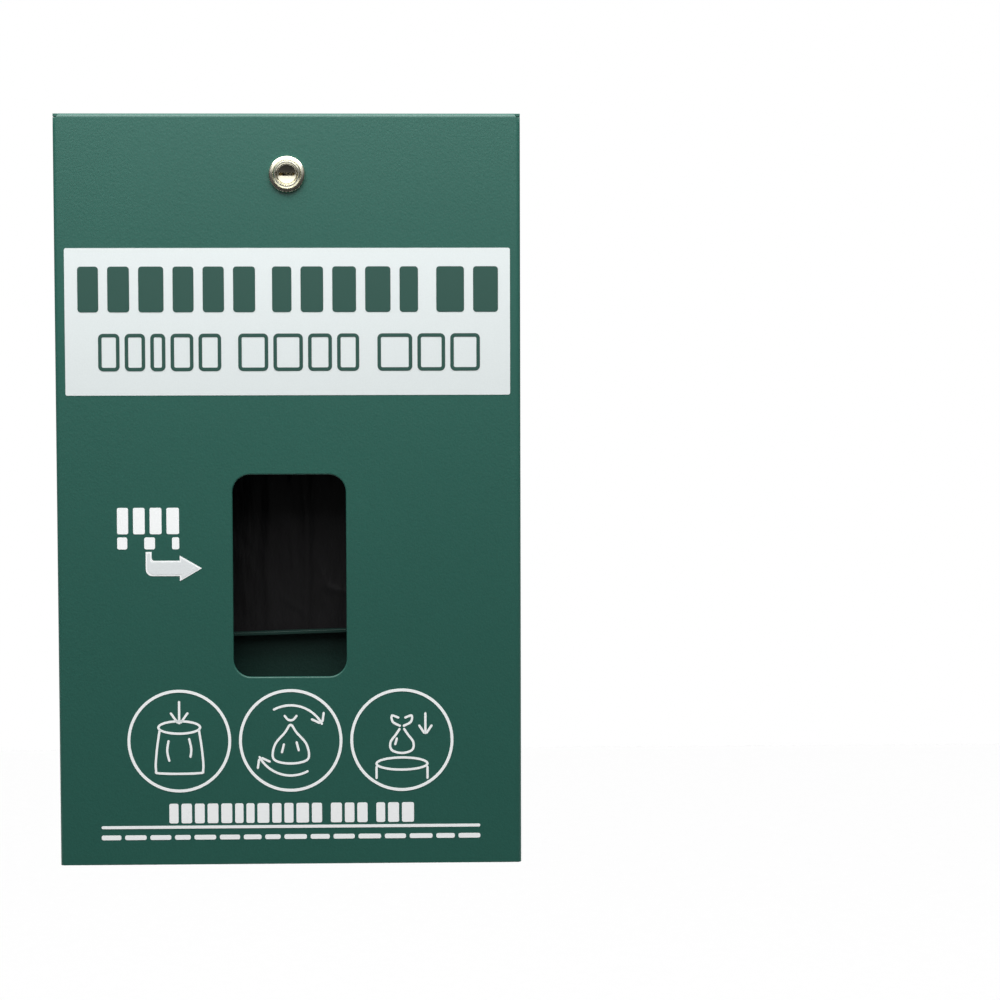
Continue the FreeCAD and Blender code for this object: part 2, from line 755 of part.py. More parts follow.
def keyway():
    """A slot with rounded ends. It lies level while the cover is unlocked."""
    end = (KEYWAY_WIDTH - KEYWAY_HEIGHT) / 2
    half = KEYWAY_HEIGHT / 2
    low, high = PLUG_FACE - KEYWAY_DEPTH, PLUG_FACE + CUT_OVER
    slot = [block((-end, end), (-half, half), (low, high))]
    for side in SIDES:
        slot.append(Part.makeCylinder(half, high - low, V(side * end, 0, low)))
    return fuse(slot)


def lock_wafers():
    """Flat wafers in the plug's slots, each with a window that the key passes through."""
    half = WAFER_WIDTH / 2
    thick = WAFER_THICKNESS / 2
    reach = math.sqrt(PLUG_RADIUS**2 - half**2) - WAFER_PLAY
    wafers = []
    for z in wafer_heights():
        wafer = block((-reach, reach), (-half, half), (z - thick, z + thick))
        window = block(
            (WAFER_RIM - reach, reach - WAFER_RIM),
            (WAFER_RIM - half, half - WAFER_RIM),
            (z - WAFER_THICKNESS, z + WAFER_THICKNESS),
        )
        wafers.append(wafer.cut(window))
    return lock_part(Part.makeCompound(wafers))


def lock_cam():
    """A flat tongue on the plug's square end. It rests pointing to the left and locks pointing up."""
    half = CAM_WIDTH / 2
    corners = [
        (-CAM_LENGTH, -half, CAM_CORNER),
        (half, -half, half - TINY),
        (half, half, half - TINY),
        (-CAM_LENGTH, half, CAM_CORNER),
    ]
    wire = rounded_wire(corners, lambda p: V(p.x, p.y, CAM_LOW))
    cam = Part.Face(wire).extrude(V(0, 0, CAM_THICKNESS))
    hole = CAM_SQUARE / 2 + CAM_SQUARE_PLAY
    square = block((-hole, hole), (-hole, hole), (CAM_LOW - CUT_OVER, CAM_HIGH + CUT_OVER))
    return lock_part(cam.cut(square))


def cam_washer():
    """A split spring washer under the cam's screw."""
    low = SCREW_SEAT - CUT_OVER
    high = CAM_LOW + CUT_OVER
    hole = disc(CAM_SCREW_RADIUS + CAM_SCREW_CLEARANCE, low, high)
    split = block(
        (0, CAM_WASHER_RADIUS + CUT_OVER),
        (-CAM_WASHER_SPLIT / 2, CAM_WASHER_SPLIT / 2),
        (low, high),
    )
    return lock_part(disc(CAM_WASHER_RADIUS, SCREW_SEAT, CAM_LOW).cut([hole, split]))


def cam_screw():
    """A cross-slotted screw into the end of the plug."""
    low = SCREW_SEAT - CAM_SCREW_HEAD
    head = disc(CAM_SCREW_HEAD_RADIUS, low, SCREW_SEAT)
    head = round_edges(head, CAM_SCREW_HEAD / 3, lambda p: near(p.z, low))
    shank = disc(CAM_SCREW_RADIUS, SCREW_SEAT, SCREW_SEAT + CAM_SCREW_LENGTH)
    half_length = SCREW_SLOT_LENGTH / 2
    half_width = SCREW_SLOT_WIDTH / 2
    depth = (low - CUT_OVER, low + SCREW_SLOT_DEPTH)
    slots = [
        block((-half_length, half_length), (-half_width, half_width), depth),
        block((-half_width, half_width), (-half_length, half_length), depth),
    ]
    return lock_part(fuse([head, shank]).cut(slots))


# ---------------------------------------------------------------- bag hanger and bags

def on_stud(shape, y):
    return facing_out(shape, y, STUD_Z)


def washer_about_stud(radius, length):
    return disc(radius, 0, length).cut(disc(STUD_RADIUS + STUD_CLEARANCE, 0, length))


def bag_stud():
    """A threaded stud with a flange at its foot and a chamfered end."""
    plain_end = STUD_BASE + SPACER_LENGTH
    thread_end = STUD_LENGTH - STUD_CHAMFER
    stud = turned(
        [
            (0, 0),
            (STUD_BASE_RADIUS, 0),
            (STUD_BASE_RADIUS, STUD_BASE),
            (STUD_RADIUS, STUD_BASE),
            *thread(STUD_RADIUS, plain_end, thread_end),
            (STUD_RADIUS - STUD_CHAMFER, STUD_LENGTH),
            (0, STUD_LENGTH),
        ]
    )
    return on_stud(stud, -SHEET)


def stud_spacer():
    """Holds the bags off the heads of the mounting bolts."""
    return on_stud(washer_about_stud(SPACER_RADIUS, SPACER_LENGTH), -SHEET - STUD_BASE)


def clamp_washer():
    washer = washer_about_stud(CLAMP_RADIUS, CLAMP_THICKNESS)
    rim = CLAMP_THICKNESS
    washer = round_edges(washer, CLAMP_EDGE, lambda p: near(p.z, rim) and abs(p.x) > STUD_BASE_RADIUS)
    return on_stud(washer, TAB_FRONT)


def wing_nut():
    hub = turned([(0, 0), (NUT_HUB_RADIUS, 0), (NUT_TOP_RADIUS, NUT_HEIGHT), (0, NUT_HEIGHT)])
    half = WING_THICKNESS / 2
    pieces = [hub]
    for side in SIDES:
        corners = [(side * x * WING_SPAN, z * WING_RISE, radius) for x, z, radius in WING]
        wire = rounded_wire(corners, lambda p: V(p.x, -half, p.y))
        pieces.append(Part.Face(wire).extrude(V(0, WING_THICKNESS, 0)))
    bore = disc(STUD_RADIUS + THREAD_CLEARANCE, -CUT_OVER, NUT_HEIGHT + CUT_OVER)
    return on_stud(fuse(pieces).cut(bore), TAB_FRONT - CLAMP_THICKNESS)


def bag_pack():
    """The refill as one block: the bags' bodies, their two handles, and the header tabs on the stud."""
    half = BAG_WIDTH / 2
    inner = half - BAG_HANDLE_WIDTH
    neck = BAG_TAB_NECK / 2
    corners = [
        (-half, BAG_BOTTOM, 0),
        (half, BAG_BOTTOM, 0),
        (half, BAG_TOP, 0),
        (inner, BAG_TOP, 0),
        (inner, BAG_NOTCH_Z, BAG_NOTCH_RADIUS),
        (-inner, BAG_NOTCH_Z, BAG_NOTCH_RADIUS),
        (-inner, BAG_TOP, 0),
        (-half, BAG_TOP, 0),
    ]
    bodies = front_plate(corners, PACK_BACK, PACK_FRONT)
    root = BAG_NOTCH_Z - BAG_NOTCH_RADIUS
    tab_neck = block((-neck, neck), (TAB_FRONT, TAB_BACK), (root, STUD_Z))
    tab_head = rod(BAG_TAB_HEAD_RADIUS, (0, TAB_BACK, STUD_Z), (0, TAB_FRONT, STUD_Z))
    hole = rod(
        STUD_RADIUS + BAG_HOLE_CLEARANCE,
        (0, TAB_BACK + CUT_OVER, STUD_Z),
        (0, TAB_FRONT - CUT_OVER, STUD_Z),
    )
    return fuse([bodies, tab_neck, tab_head]).cut(hole)


# ---------------------------------------------------------------- printed films

def film(corners):
    return front_plate(corners, FACE, FACE - FILM)


def sign_decal():
    top = TOP - SIGN_TO_TOP
    return film(rectangle(WIDTH / 2 - SIGN_MARGIN, top - SIGN_HEIGHT, top, SIGN_RADIUS))


def arrow_decal():
    """A bent arrow that points at the opening."""
    z = TOP - ARROW_TO_TOP
    tip = -OPENING_WIDTH / 2 - ARROW_TO_OPENING
    neck = tip - ARROW_HEAD_LENGTH
    tail = tip - ARROW_LENGTH
    return film(
        [
            (tail, z - ARROW_SHAFT_HALF, ARROW_OUTER_BEND),
            (neck, z - ARROW_SHAFT_HALF, 0),
            (neck, z - ARROW_HEAD_HALF, 0),
            (tip, z, 0),
            (neck, z + ARROW_HEAD_HALF, 0),
            (neck, z + ARROW_SHAFT_HALF, 0),
            (tail + ARROW_TAIL_WIDTH, z + ARROW_SHAFT_HALF, ARROW_INNER_BEND),
            (tail + ARROW_TAIL_WIDTH, z + ARROW_TAIL_RISE, 0),
            (tail, z + ARROW_TAIL_RISE, 0),
        ]
    )


def step_decals():
    """Three rings, one for each step of use."""
    z = TOP - RINGS_TO_TOP
    rings = []
    for x in (-RING_PITCH, 0, RING_PITCH):
        rings.append(tube(RING_RADIUS, RING_RADIUS - RING_STROKE, (x, FACE, z), (x, FACE - FILM, z)))
    return Part.makeCompound(rings)


# ---------------------------------------------------------------- export

def all_nodes():
    """Each node's name and shape."""
    nodes = {
        "rear_housing": rear_housing(),
        "bag_tray": bag_tray(),
        "tray_rivets": tray_rivets(),
        "front_cover": front_cover(),
        "lock_barrel": lock_barrel(),
        "lock_washer": lock_washer(),
        "lock_nut": lock_nut(),
        "lock_plug": lock_plug(),
        "lock_wafers": lock_wafers(),
        "lock_cam": lock_cam(),
        "cam_washer": cam_washer(),
        "cam_screw": cam_screw(),
        "bag_stud": bag_stud(),
        "stud_spacer": stud_spacer(),
        "clamp_washer": clamp_washer(),
        "wing_nut": wing_nut(),
        "bag_pack": bag_pack(),
        "sign_decal": sign_decal(),
        "arrow_decal": arrow_decal(),
        "step_decals": step_decals(),
    }
    for side, end in zip(SIDES, ("left", "right")):
        nodes["hinge_pin_" + end] = hinge_pin(side)
        nodes["hinge_washer_" + end] = hinge_washer(side)
        nodes["hinge_clip_" + end] = hinge_clip(side)
    return nodes


os.makedirs("parts", exist_ok=True)
for node, shape in all_nodes().items():
    shape.exportStep("parts/" + node + ".step")
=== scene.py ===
"""The look of a wall-mounted dog waste bag dispenser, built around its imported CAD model.

Everything is in metres in the row frame: +Z up, +X to the right, the cover facing -Y, the wall at y = 0.
"""

import math
import random

import bmesh
import bpy
from mathutils import Matrix, Vector, noise


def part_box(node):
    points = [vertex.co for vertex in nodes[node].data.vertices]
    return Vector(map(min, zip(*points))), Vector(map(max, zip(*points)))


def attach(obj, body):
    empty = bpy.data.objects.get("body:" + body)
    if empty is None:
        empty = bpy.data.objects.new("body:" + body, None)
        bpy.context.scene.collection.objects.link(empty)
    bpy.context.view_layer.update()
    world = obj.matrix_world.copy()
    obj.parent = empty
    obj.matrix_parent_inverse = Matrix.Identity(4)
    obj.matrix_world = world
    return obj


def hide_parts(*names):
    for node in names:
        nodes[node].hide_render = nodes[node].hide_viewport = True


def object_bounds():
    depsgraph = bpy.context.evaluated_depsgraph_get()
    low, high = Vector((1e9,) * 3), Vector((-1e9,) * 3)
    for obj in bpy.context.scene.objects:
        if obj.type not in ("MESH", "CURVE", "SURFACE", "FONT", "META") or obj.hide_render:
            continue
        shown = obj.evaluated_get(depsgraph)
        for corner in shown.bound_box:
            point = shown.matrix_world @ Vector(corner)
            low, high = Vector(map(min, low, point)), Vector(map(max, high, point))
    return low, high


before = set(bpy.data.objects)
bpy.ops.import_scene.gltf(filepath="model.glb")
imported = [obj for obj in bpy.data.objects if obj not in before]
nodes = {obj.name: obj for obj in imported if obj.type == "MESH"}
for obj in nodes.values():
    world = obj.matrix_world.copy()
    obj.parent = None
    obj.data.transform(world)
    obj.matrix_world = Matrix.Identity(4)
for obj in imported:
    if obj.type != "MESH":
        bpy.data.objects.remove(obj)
cad_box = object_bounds()

MM = 0.001


# ---------------------------------------------------------------- camera, light and floor

CAMERA_AT = (0.0756, -1.2742, 0.0555)
CAMERA_LENS = 85.0
CAMERA_TURN_DEG = -1.50
CAMERA_DOWN_DEG = 2.88
CAMERA_ROLL_DEG = -0.14
SENSOR_WIDTH = 36.0
CLIP_NEAR = 0.05
CLIP_FAR = 50.0

# Softboxes as (name, place, point aimed at, (width, height), watts)
SOFTBOXES = [
    ("front_softbox", (-0.1, -0.88, 0.54), (0.0, -0.08, 0.17), (1.1, 0.45), 2.35),
    ("overhead", (0.0, -0.37, 0.62), (0.0, -0.08, 0.06), (1.1, 0.32), 6.1),
]

WORLD_STRENGTH = 1.0
# Brightness of the surroundings, from straight below (0) through level (0.5) to straight above (1)
WORLD_STEPS = [(0.0, 0.02), (0.5, 0.05), (0.6, 0.12), (0.75, 0.45), (1.0, 2.05)]
BACKDROP = (1.0, 1.0, 1.0, 1.0)

FLOOR_BELOW = 1.2
FLOOR_HALF = 8.0
FLOOR_AHEAD = 0.5
FLOOR_WHITE = (0.93, 0.93, 0.93)


def make_camera():
    """A long lens, level with the upper half of the box and a little to its right."""
    data = bpy.data.cameras.new("camera")
    data.lens = CAMERA_LENS
    data.sensor_width = SENSOR_WIDTH
    data.clip_start = CLIP_NEAR
    data.clip_end = CLIP_FAR
    camera = bpy.data.objects.new("camera", data)
    bpy.context.scene.collection.objects.link(camera)
    turn = Matrix.Rotation(math.radians(CAMERA_TURN_DEG), 4, "Z")
    tilt = Matrix.Rotation(math.radians(90 - CAMERA_DOWN_DEG), 4, "X")
    roll = Matrix.Rotation(math.radians(CAMERA_ROLL_DEG), 4, "Z")
    camera.matrix_world = Matrix.Translation(CAMERA_AT) @ turn @ tilt @ roll
    bpy.context.scene.camera = camera


def area_light(name, at, aim, size, power):
    """A rectangular softbox that faces a point."""
    data = bpy.data.lights.new(name, "AREA")
    data.shape = "RECTANGLE"
    data.size, data.size_y = size
    data.energy = power
    light = bpy.data.objects.new(name, data)
    bpy.context.scene.collection.objects.link(light)
    light.location = at
    light.rotation_mode = "QUATERNION"
    light.rotation_quaternion = (Vector(aim) - Vector(at)).to_track_quat("-Z", "Y")


def make_world():
    """A pale studio: bright overhead, dimmer towards the ground, and plain near-white behind."""
    world = bpy.data.worlds.new("studio")
    bpy.context.scene.world = world
    world.use_nodes = True
    tree = world.node_tree
    tree.nodes.clear()
    graph = Graph(tree)
    direction = graph.add("ShaderNodeTexCoord").outputs["Generated"]
    height = graph.add("ShaderNodeSeparateXYZ", {"Vector": direction})
    # Generated runs from -1 to 1 upwards, and the ramp from 0 to 1
    lift = graph.math("MULTIPLY_ADD", height.outputs["Z"], 0.5, 0.5)
    ramp = graph.ramp(lift, [(at, (grey, grey, grey)) for at, grey in WORLD_STEPS])
    light = graph.add("ShaderNodeBackground", {"Color": ramp, "Strength": WORLD_STRENGTH})
    backdrop = graph.add("ShaderNodeBackground", {"Color": BACKDROP, "Strength": 1.0})
    path = graph.add("ShaderNodeLightPath")
    mixed = graph.add("ShaderNodeMixShader")
    tree.links.new(path.outputs["Is Camera Ray"], mixed.inputs[0])
    tree.links.new(light.outputs[0], mixed.inputs[1])
    tree.links.new(backdrop.outputs[0], mixed.inputs[2])
    output = graph.add("ShaderNodeOutputWorld")
    tree.links.new(mixed.outputs[0], output.inputs["Surface"])


# ---------------------------------------------------------------- node graphs

EDGE_SAMPLES = 6
# How alike the rounded and the flat normals are where an edge starts, and where it is full
EDGE_STARTS = 0.995
EDGE_FULL = 0.90


class Graph:
    """Adds shader nodes by name, with their inputs given as values or as other nodes' outputs."""

    def __init__(self, tree):
        self.tree = tree

    def add(self, kind, inputs=None, **settings):
        node = self.tree.nodes.new(kind)
        for key, value in settings.items():
            setattr(node, key, value)
        for key, value in (inputs or {}).items():
            if isinstance(value, bpy.types.NodeSocket):
                self.tree.links.new(value, node.inputs[key])
            else:
                node.inputs[key].default_value = value
        return node

    def math(self, operation, a, b, c=0.0):
        return self.add("ShaderNodeMath", {0: a, 1: b, 2: c}, operation=operation).outputs[0]

    def ramp(self, factor, stops):
        node = self.add("ShaderNodeValToRGB", {"Fac": factor})
        elements = node.color_ramp.elements
        while len(elements) < len(stops):
            elements.new(0.5)
        for element, (position, colour) in zip(elements, stops):
            element.position = position
            element.color = (*colour, 1.0)
        return node.outputs["Color"]

    def noise(self, vector, scale, detail=3.0, roughness=0.5):
        inputs = {"Vector": vector, "Scale": scale, "Detail": detail, "Roughness": roughness}
        return self.add("ShaderNodeTexNoise", inputs).outputs["Fac"]

    def spread(self, value, low, high):
        """A 0 to 1 value stretched to run from low to high."""
        inputs = {"Value": value, "To Min": low, "To Max": high}
        return self.add("ShaderNodeMapRange", inputs).outputs["Result"]

    def shade(self, colour, value, amount):
        """A colour made darker or lighter by up to amount as value runs from 0 to 1."""
        scaled = self.spread(value, 1 - amount, 1 + amount)
        grey = self.add("ShaderNodeCombineXYZ", {"X": scaled, "Y": scaled, "Z": scaled}).outputs[0]
        mixed = self.add("ShaderNodeVectorMath", {0: grey, 1: colour}, operation="MULTIPLY")
        return mixed.outputs[0]

    def blend(self, factor, colour, other):
        """One colour turning into another as factor runs from 0 to 1."""
        def as_vector(value):
            return value if isinstance(value, bpy.types.NodeSocket) else Vector(value[:3])

        inputs = {0: factor, 4: as_vector(colour), 5: as_vector(other)}
        return self.add("ShaderNodeMix", inputs, data_type="VECTOR").outputs[1]


def material(name, build):
    """A material whose surface is a Principled shader filled in by build(graph, shader, place)."""
    made = bpy.data.materials.new(name)
    made.use_nodes = True
    tree = made.node_tree
    shader = tree.nodes["Principled BSDF"]
    graph = Graph(tree)
    place = graph.add("ShaderNodeTexCoord").outputs["Object"]
    build(graph, shader, place)
    return made


def wire(graph, shader, **inputs):
    """Sets or links the shader's inputs, which are named with _ for each space."""
    for name, value in inputs.items():
        socket = shader.inputs[name.replace("_", " ")]
        if isinstance(value, bpy.types.NodeSocket):
            graph.tree.links.new(value, socket)
        else:
            socket.default_value = value


def bump(graph, height, strength, distance, normal=None):
    """A normal that follows a 0 to 1 height, on top of another normal where one is given."""
    inputs = {"Height": height, "Strength": strength, "Distance": distance}
    if normal is not None:
        inputs["Normal"] = normal
    return graph.add("ShaderNodeBump", inputs).outputs["Normal"]


def soft_edges(graph, radius):
    """A normal that is rounded over sharp edges, and a value that is 1 on those edges and 0 on flat faces."""
    rounded = graph.add("ShaderNodeBevel", {"Radius": radius}, samples=EDGE_SAMPLES).outputs["Normal"]
    flat = graph.add("ShaderNodeNewGeometry").outputs["True Normal"]
    facing = graph.add("ShaderNodeVectorMath", {0: rounded, 1: flat}, operation="DOT_PRODUCT")
    inputs = {"Value": facing.outputs["Value"], "From Min": EDGE_STARTS, "From Max": EDGE_FULL}
    return rounded, graph.add("ShaderNodeMapRange", inputs).outputs["Result"]


# ---------------------------------------------------------------- materials

GREEN = (0.0205, 0.1090, 0.0835)
# Painted shade: the housing's green is made darker by this factor because the inside of the box lies in
# shade; its outside takes the darker green too.
INSIDE_PAINTED_SHADE = 0.42
# Painted shade: the tray deep in the box is made darker still.
TRAY_PAINTED_SHADE = 0.28
PANEL_WHITE = (0.765, 0.82, 0.82)
PRINT_WHITE = (0.93, 0.95, 0.95)
# Painted light: the white ink glows a little, so the prints look brighter.
WHITE_INK_GLOW = 0.12
SIGN_INK = (0.028, 0.088, 0.070)
ARROW_GREY = (0.84, 0.88, 0.89)
# The film's grey is darker than the bags' own, partly as painted shade that keeps the slot dark.
FILM_GREY = (0.031, 0.030, 0.032)
FILM_CUT = (0.004, 0.004, 0.004)
PERFORATION_PITCH = 1.8 * MM
PERFORATION_HALF = 0.22 * MM
# Sine values above this are cut through, so a little more than half of each pitch is cut
PERFORATION_CUT = -0.2

# How far paint and metal round over sharp edges, and how pale the paint gets there: partly thinner paint,
# partly a painted highlight
PAINT_EDGE = 0.45 * MM
METAL_EDGE = 0.12 * MM
EDGE_PALER = 1.5
EDGE_GREY = 0.02


def powder_coat(name, colour, roughness=0.39, specular=0.55):
    """Textured powder paint: fine orange peel, tiny specks, and paler paint along sharp edges, partly thinner
    paint and partly a painted highlight.
    """
    def build(graph, shader, place):
        peel = graph.noise(place, 900.0, 2.0)
        specks = graph.noise(place, 2400.0, 1.0)
        cloud = graph.noise(place, 9.0, 2.0)
        rounded, edge = soft_edges(graph, PAINT_EDGE)
        tone = graph.shade(colour, specks, 0.20)
        tone = graph.shade(tone, cloud, 0.04)
        # Paler along sharp edges: partly thinner paint, partly a painted highlight where the edges catch the
        # light.
        worn_and_highlit = graph.math("MULTIPLY", edge, graph.spread(graph.noise(place, 60.0), 0.3, 1.0))
        tone = graph.blend(worn_and_highlit, tone, tuple(channel * EDGE_PALER + EDGE_GREY for channel in colour))
        wire(
            graph,
            shader,
            Base_Color=tone,
            Roughness=graph.spread(peel, roughness - 0.06, roughness + 0.08),
            Specular_IOR_Level=specular,
            Normal=bump(graph, peel, 0.3, 0.25 * MM, rounded),
        )

    return material(name, build)


def plated_metal(name, colour, roughness, grain=0.0, smudge=0.5):
    """Plated or turned metal: fine scratches, soft smudges, and roughness that changes with them."""
    def build(graph, shader, place):
        streaks = graph.add("ShaderNodeMapping", {"Vector": place, "Scale": (300.0, 300.0, 4000.0)})
        scratches = graph.noise(streaks.outputs[0], 1.0, 3.0)
        smudges = graph.noise(place, 140.0, 2.0)
        rounded = soft_edges(graph, METAL_EDGE)[0]
        wire(
            graph,
            shader,
            Base_Color=graph.shade(colour, smudges, 0.06),
            Metallic=1.0,
            Roughness=graph.spread(smudges, roughness * (1 - smudge), roughness * (1 + smudge)),
            Normal=bump(graph, scratches, grain, 0.02 * MM, rounded),
        )

    return material(name, build)


def moulded_plastic(name, colour, roughness):
    """Plain nylon: very fine grain and slight mottling."""
    def build(graph, shader, place):
        fine = graph.noise(place, 1800.0, 2.0)
        wire(
            graph,
            shader,
            Base_Color=graph.shade(colour, graph.noise(place, 90.0), 0.05),
            Roughness=graph.spread(fine, roughness - 0.05, roughness + 0.05),
            Normal=bump(graph, fine, 0.2, 0.05 * MM),
        )

    return material(name, build)


def printed_film(name, colour, glow=0.0, roughness=0.38):
    """Vinyl film laid over the paint: the peel below shows through it a little.

    A glow gives a white ink a little painted light of its own, though it is no lamp.
    """
    def build(graph, shader, place):
        peel = graph.noise(place, 900.0, 2.0)
        wire(
            graph,
            shader,
            Base_Color=graph.shade(colour, graph.noise(place, 1500.0), 0.04),
            # Emission here is painted light, none unless a glow is given.
            Emission_Color=(*colour, 1.0),
            Emission_Strength=glow,
            Roughness=graph.spread(peel, roughness - 0.04, roughness + 0.05),
            Normal=bump(graph, peel, 0.15, 0.15 * MM),
        )

    return material(name, build)


def bag_film():
    """Dark polythene: soft creases, fine lines along the film, and a perforated line under the tab."""
    def build(graph, shader, place):
        def stretched(turn, across, along):
            inputs = {"Vector": place, "Rotation": (0.0, turn, 0.0), "Scale": (across, across, along)}
            return graph.add("ShaderNodeMapping", inputs).outputs[0]

        lines = graph.noise(stretched(0.0, 420.0, 9.0), 1.0, 2.0)
        wrinkles = graph.noise(stretched(0.5, 70.0, 14.0), 1.0, 4.0, 0.55)
        pulls = graph.noise(stretched(-0.25, 48.0, 9.0), 1.0, 3.0, 0.5)
        haze = graph.noise(place, 22.0, 3.0)
        normal = bump(graph, wrinkles, 0.55, 2.0 * MM)
        normal = bump(graph, pulls, 0.55, 2.6 * MM, normal)
        normal = bump(graph, lines, 0.3, 0.07 * MM, normal)
        tone = graph.shade(FILM_GREY, haze, 0.22)
        tone = graph.blend(perforation(graph, place), tone, FILM_CUT)
        wire(
            graph,
            shader,
            Base_Color=tone,
            Roughness=graph.spread(haze, 0.24, 0.40),
            Specular_IOR_Level=0.48,
            Normal=normal,
        )

    return material("bag_film", build)


def perforation(graph, place):
    """1 in the short cuts across the foot of the tab, and 0 elsewhere."""
    parts = graph.add("ShaderNodeSeparateXYZ", {"Vector": place}).outputs
    waves = graph.math("SINE", graph.math("MULTIPLY", parts["X"], 2 * math.pi / PERFORATION_PITCH), 0.0)
    cuts = graph.math("GREATER_THAN", waves, PERFORATION_CUT)
    level = graph.math("ABSOLUTE", graph.math("SUBTRACT", parts["Z"], PERFORATION_Z), 0.0)
    line = graph.math("LESS_THAN", level, PERFORATION_HALF)
    aside = graph.math("ABSOLUTE", parts["X"], 0.0)
    near_tab = graph.math("LESS_THAN", aside, TAB_NECK_HALF + NOTCH_RADIUS)
    return graph.math("MULTIPLY", graph.math("MULTIPLY", cuts, line), near_tab)


def with_painted_shade(colour, shade):
    """A colour made darker by a factor, as painted shade."""
    return tuple(channel * shade for channel in colour)


# Every finish by name: the function that makes it, then that function's settings after the name
FINISHES = {
    "cover_powder_coat": (powder_coat, GREEN),
    # The housing's green, made darker as painted shade.
    "inside_powder_coat": (powder_coat, with_painted_shade(GREEN, INSIDE_PAINTED_SHADE), 0.45),
    # The tray's green, made darker still as painted shade.
    "tray_powder_coat": (powder_coat, with_painted_shade(GREEN, TRAY_PAINTED_SHADE), 0.5, 0.35),
    "zinc_plate": (plated_metal, (0.60, 0.61, 0.60), 0.34, 0.3),
    "rivet_aluminium": (plated_metal, (0.74, 0.75, 0.76), 0.36, 0.2),
    "lock_chrome": (plated_metal, (0.83, 0.81, 0.66), 0.19, 0.04, 0.25),
    "plug_nickel": (plated_metal, (0.66, 0.63, 0.50), 0.2, 0.05, 0.3),
    "wafer_brass": (plated_metal, (0.72, 0.55, 0.24), 0.3, 0.3),
    "spring_steel": (plated_metal, (0.24, 0.23, 0.22), 0.35, 0.3),
    "pin_steel": (plated_metal, (0.55, 0.55, 0.54), 0.3, 0.3),
    "white_nylon": (moulded_plastic, (0.78, 0.77, 0.72), 0.45),
    "black_nylon": (moulded_plastic, (0.02, 0.02, 0.02), 0.5),
    "sign_film": (printed_film, PANEL_WHITE),
    "sign_ink": (printed_film, SIGN_INK),
    "print_white": (printed_film, PRINT_WHITE, WHITE_INK_GLOW),
    "arrow_grey": (printed_film, ARROW_GREY),
}

# The carried-over CAD nodes that take each finish
FINISHED_NODES = {
    "cover_powder_coat": ["front_cover"],
    "inside_powder_coat": ["rear_housing"],
    "tray_powder_coat": ["bag_tray"],
    "zinc_plate": [
        "lock_washer",
        "lock_nut",
        "lock_cam",
        "cam_screw",
        "clamp_washer",
        "wing_nut",
        "bag_stud",
    ],
    "rivet_aluminium": ["tray_rivets"],
    "lock_chrome": ["lock_barrel"],
    "plug_nickel": ["lock_plug"],
    "wafer_brass": ["lock_wafers"],
    "spring_steel": ["cam_washer", "hinge_clip_left", "hinge_clip_right"],
    "pin_steel": ["hinge_pin_left", "hinge_pin_right"],
    "white_nylon": ["hinge_washer_left", "hinge_washer_right"],
    "black_nylon": ["stud_spacer"],
    "sign_film": ["sign_decal"],
    "print_white": ["arrow_decal", "step_decals"],
}


def make_finishes():
    """Every material, by the name of its finish."""
    return {name: maker(name, *settings) for name, (maker, *settings) in FINISHES.items()}


def paint_nodes(finishes):
    """Every carried-over CAD node gets its material."""
    for name, painted in FINISHED_NODES.items():
        for node in painted:
            nodes[node].data.materials.clear()
            nodes[node].data.materials.append(finishes[name])


def make_floor():
    """A wide pale floor well below. It ends just ahead of the box, so it sends no light up to the cover."""
    low = cad_box[0]
    z = low.z - FLOOR_BELOW
    mesh = bpy.data.meshes.new("floor")
    front = low.y - FLOOR_AHEAD
    corners = [(-FLOOR_HALF, front), (FLOOR_HALF, front), (FLOOR_HALF, FLOOR_HALF), (-FLOOR_HALF, FLOOR_HALF)]
    mesh.from_pydata([(x, y, z) for x, y in corners], [], [(0, 1, 2, 3)])
    floor = bpy.data.objects.new("floor", mesh)
    bpy.context.scene.collection.objects.link(floor)

    def build(graph, shader, place):
        tone = graph.shade(FLOOR_WHITE, graph.noise(place, 40.0), 0.01)
        wire(graph, shader, Base_Color=tone, Roughness=0.9, Specular_IOR_Level=0.1)

    mesh.materials.append(material("pale_floor", build))


def light_scene():
    """Plain colour handling, the surroundings and the softboxes."""
    scene = bpy.context.scene
    scene.view_settings.view_transform = "Standard"
    scene.view_settings.look = "None"
    make_world()
    for softbox in SOFTBOXES:
        area_light(*softbox)


# ---------------------------------------------------------------- flat prints

CORNER_STEPS = 5
CURVE_STEPS = 6
MITRE_LEAST = 0.5
CAP_ANGLES = (math.radians(35), math.radians(65), math.radians(85))
PRINT_LIFT = 0.01 * MM
PRINT_THICKNESS = 0.1 * MM
SMALL_RADIUS = 0.9 * MM
# Blocks in a row are between these shares of their usual width
BLOCK_SHARES = (0.8, 1.25)


def rounded_bar(x, z, radius):
    """The outline of a bar with round corners, from its (low, high) in X and in Z."""
    radius = min(radius, (x[1] - x[0]) / 2, (z[1] - z[0]) / 2)
    centres = [(x[1] - radius, z[1] - radius), (x[0] + radius, z[1] - radius)]
    centres += [(x[0] + radius, z[0] + radius), (x[1] - radius, z[0] + radius)]
    points = []
    for corner, centre in enumerate(centres):
        points += arc(centre, radius, 90 * corner, 90 * corner + 90, CORNER_STEPS)
    return points


def arc(centre, radius, start, end, steps, flatten=1.0):
    """Points along part of a circle, between two angles in degrees. flatten below 1 makes it an ellipse."""
    points = []
    for i in range(steps + 1):
        angle = math.radians(start + (end - start) * i / steps)
        x = centre[0] + radius * math.cos(angle)
        z = centre[1] + radius * flatten * math.sin(angle)
        points.append(Vector((x, z)))
    return points


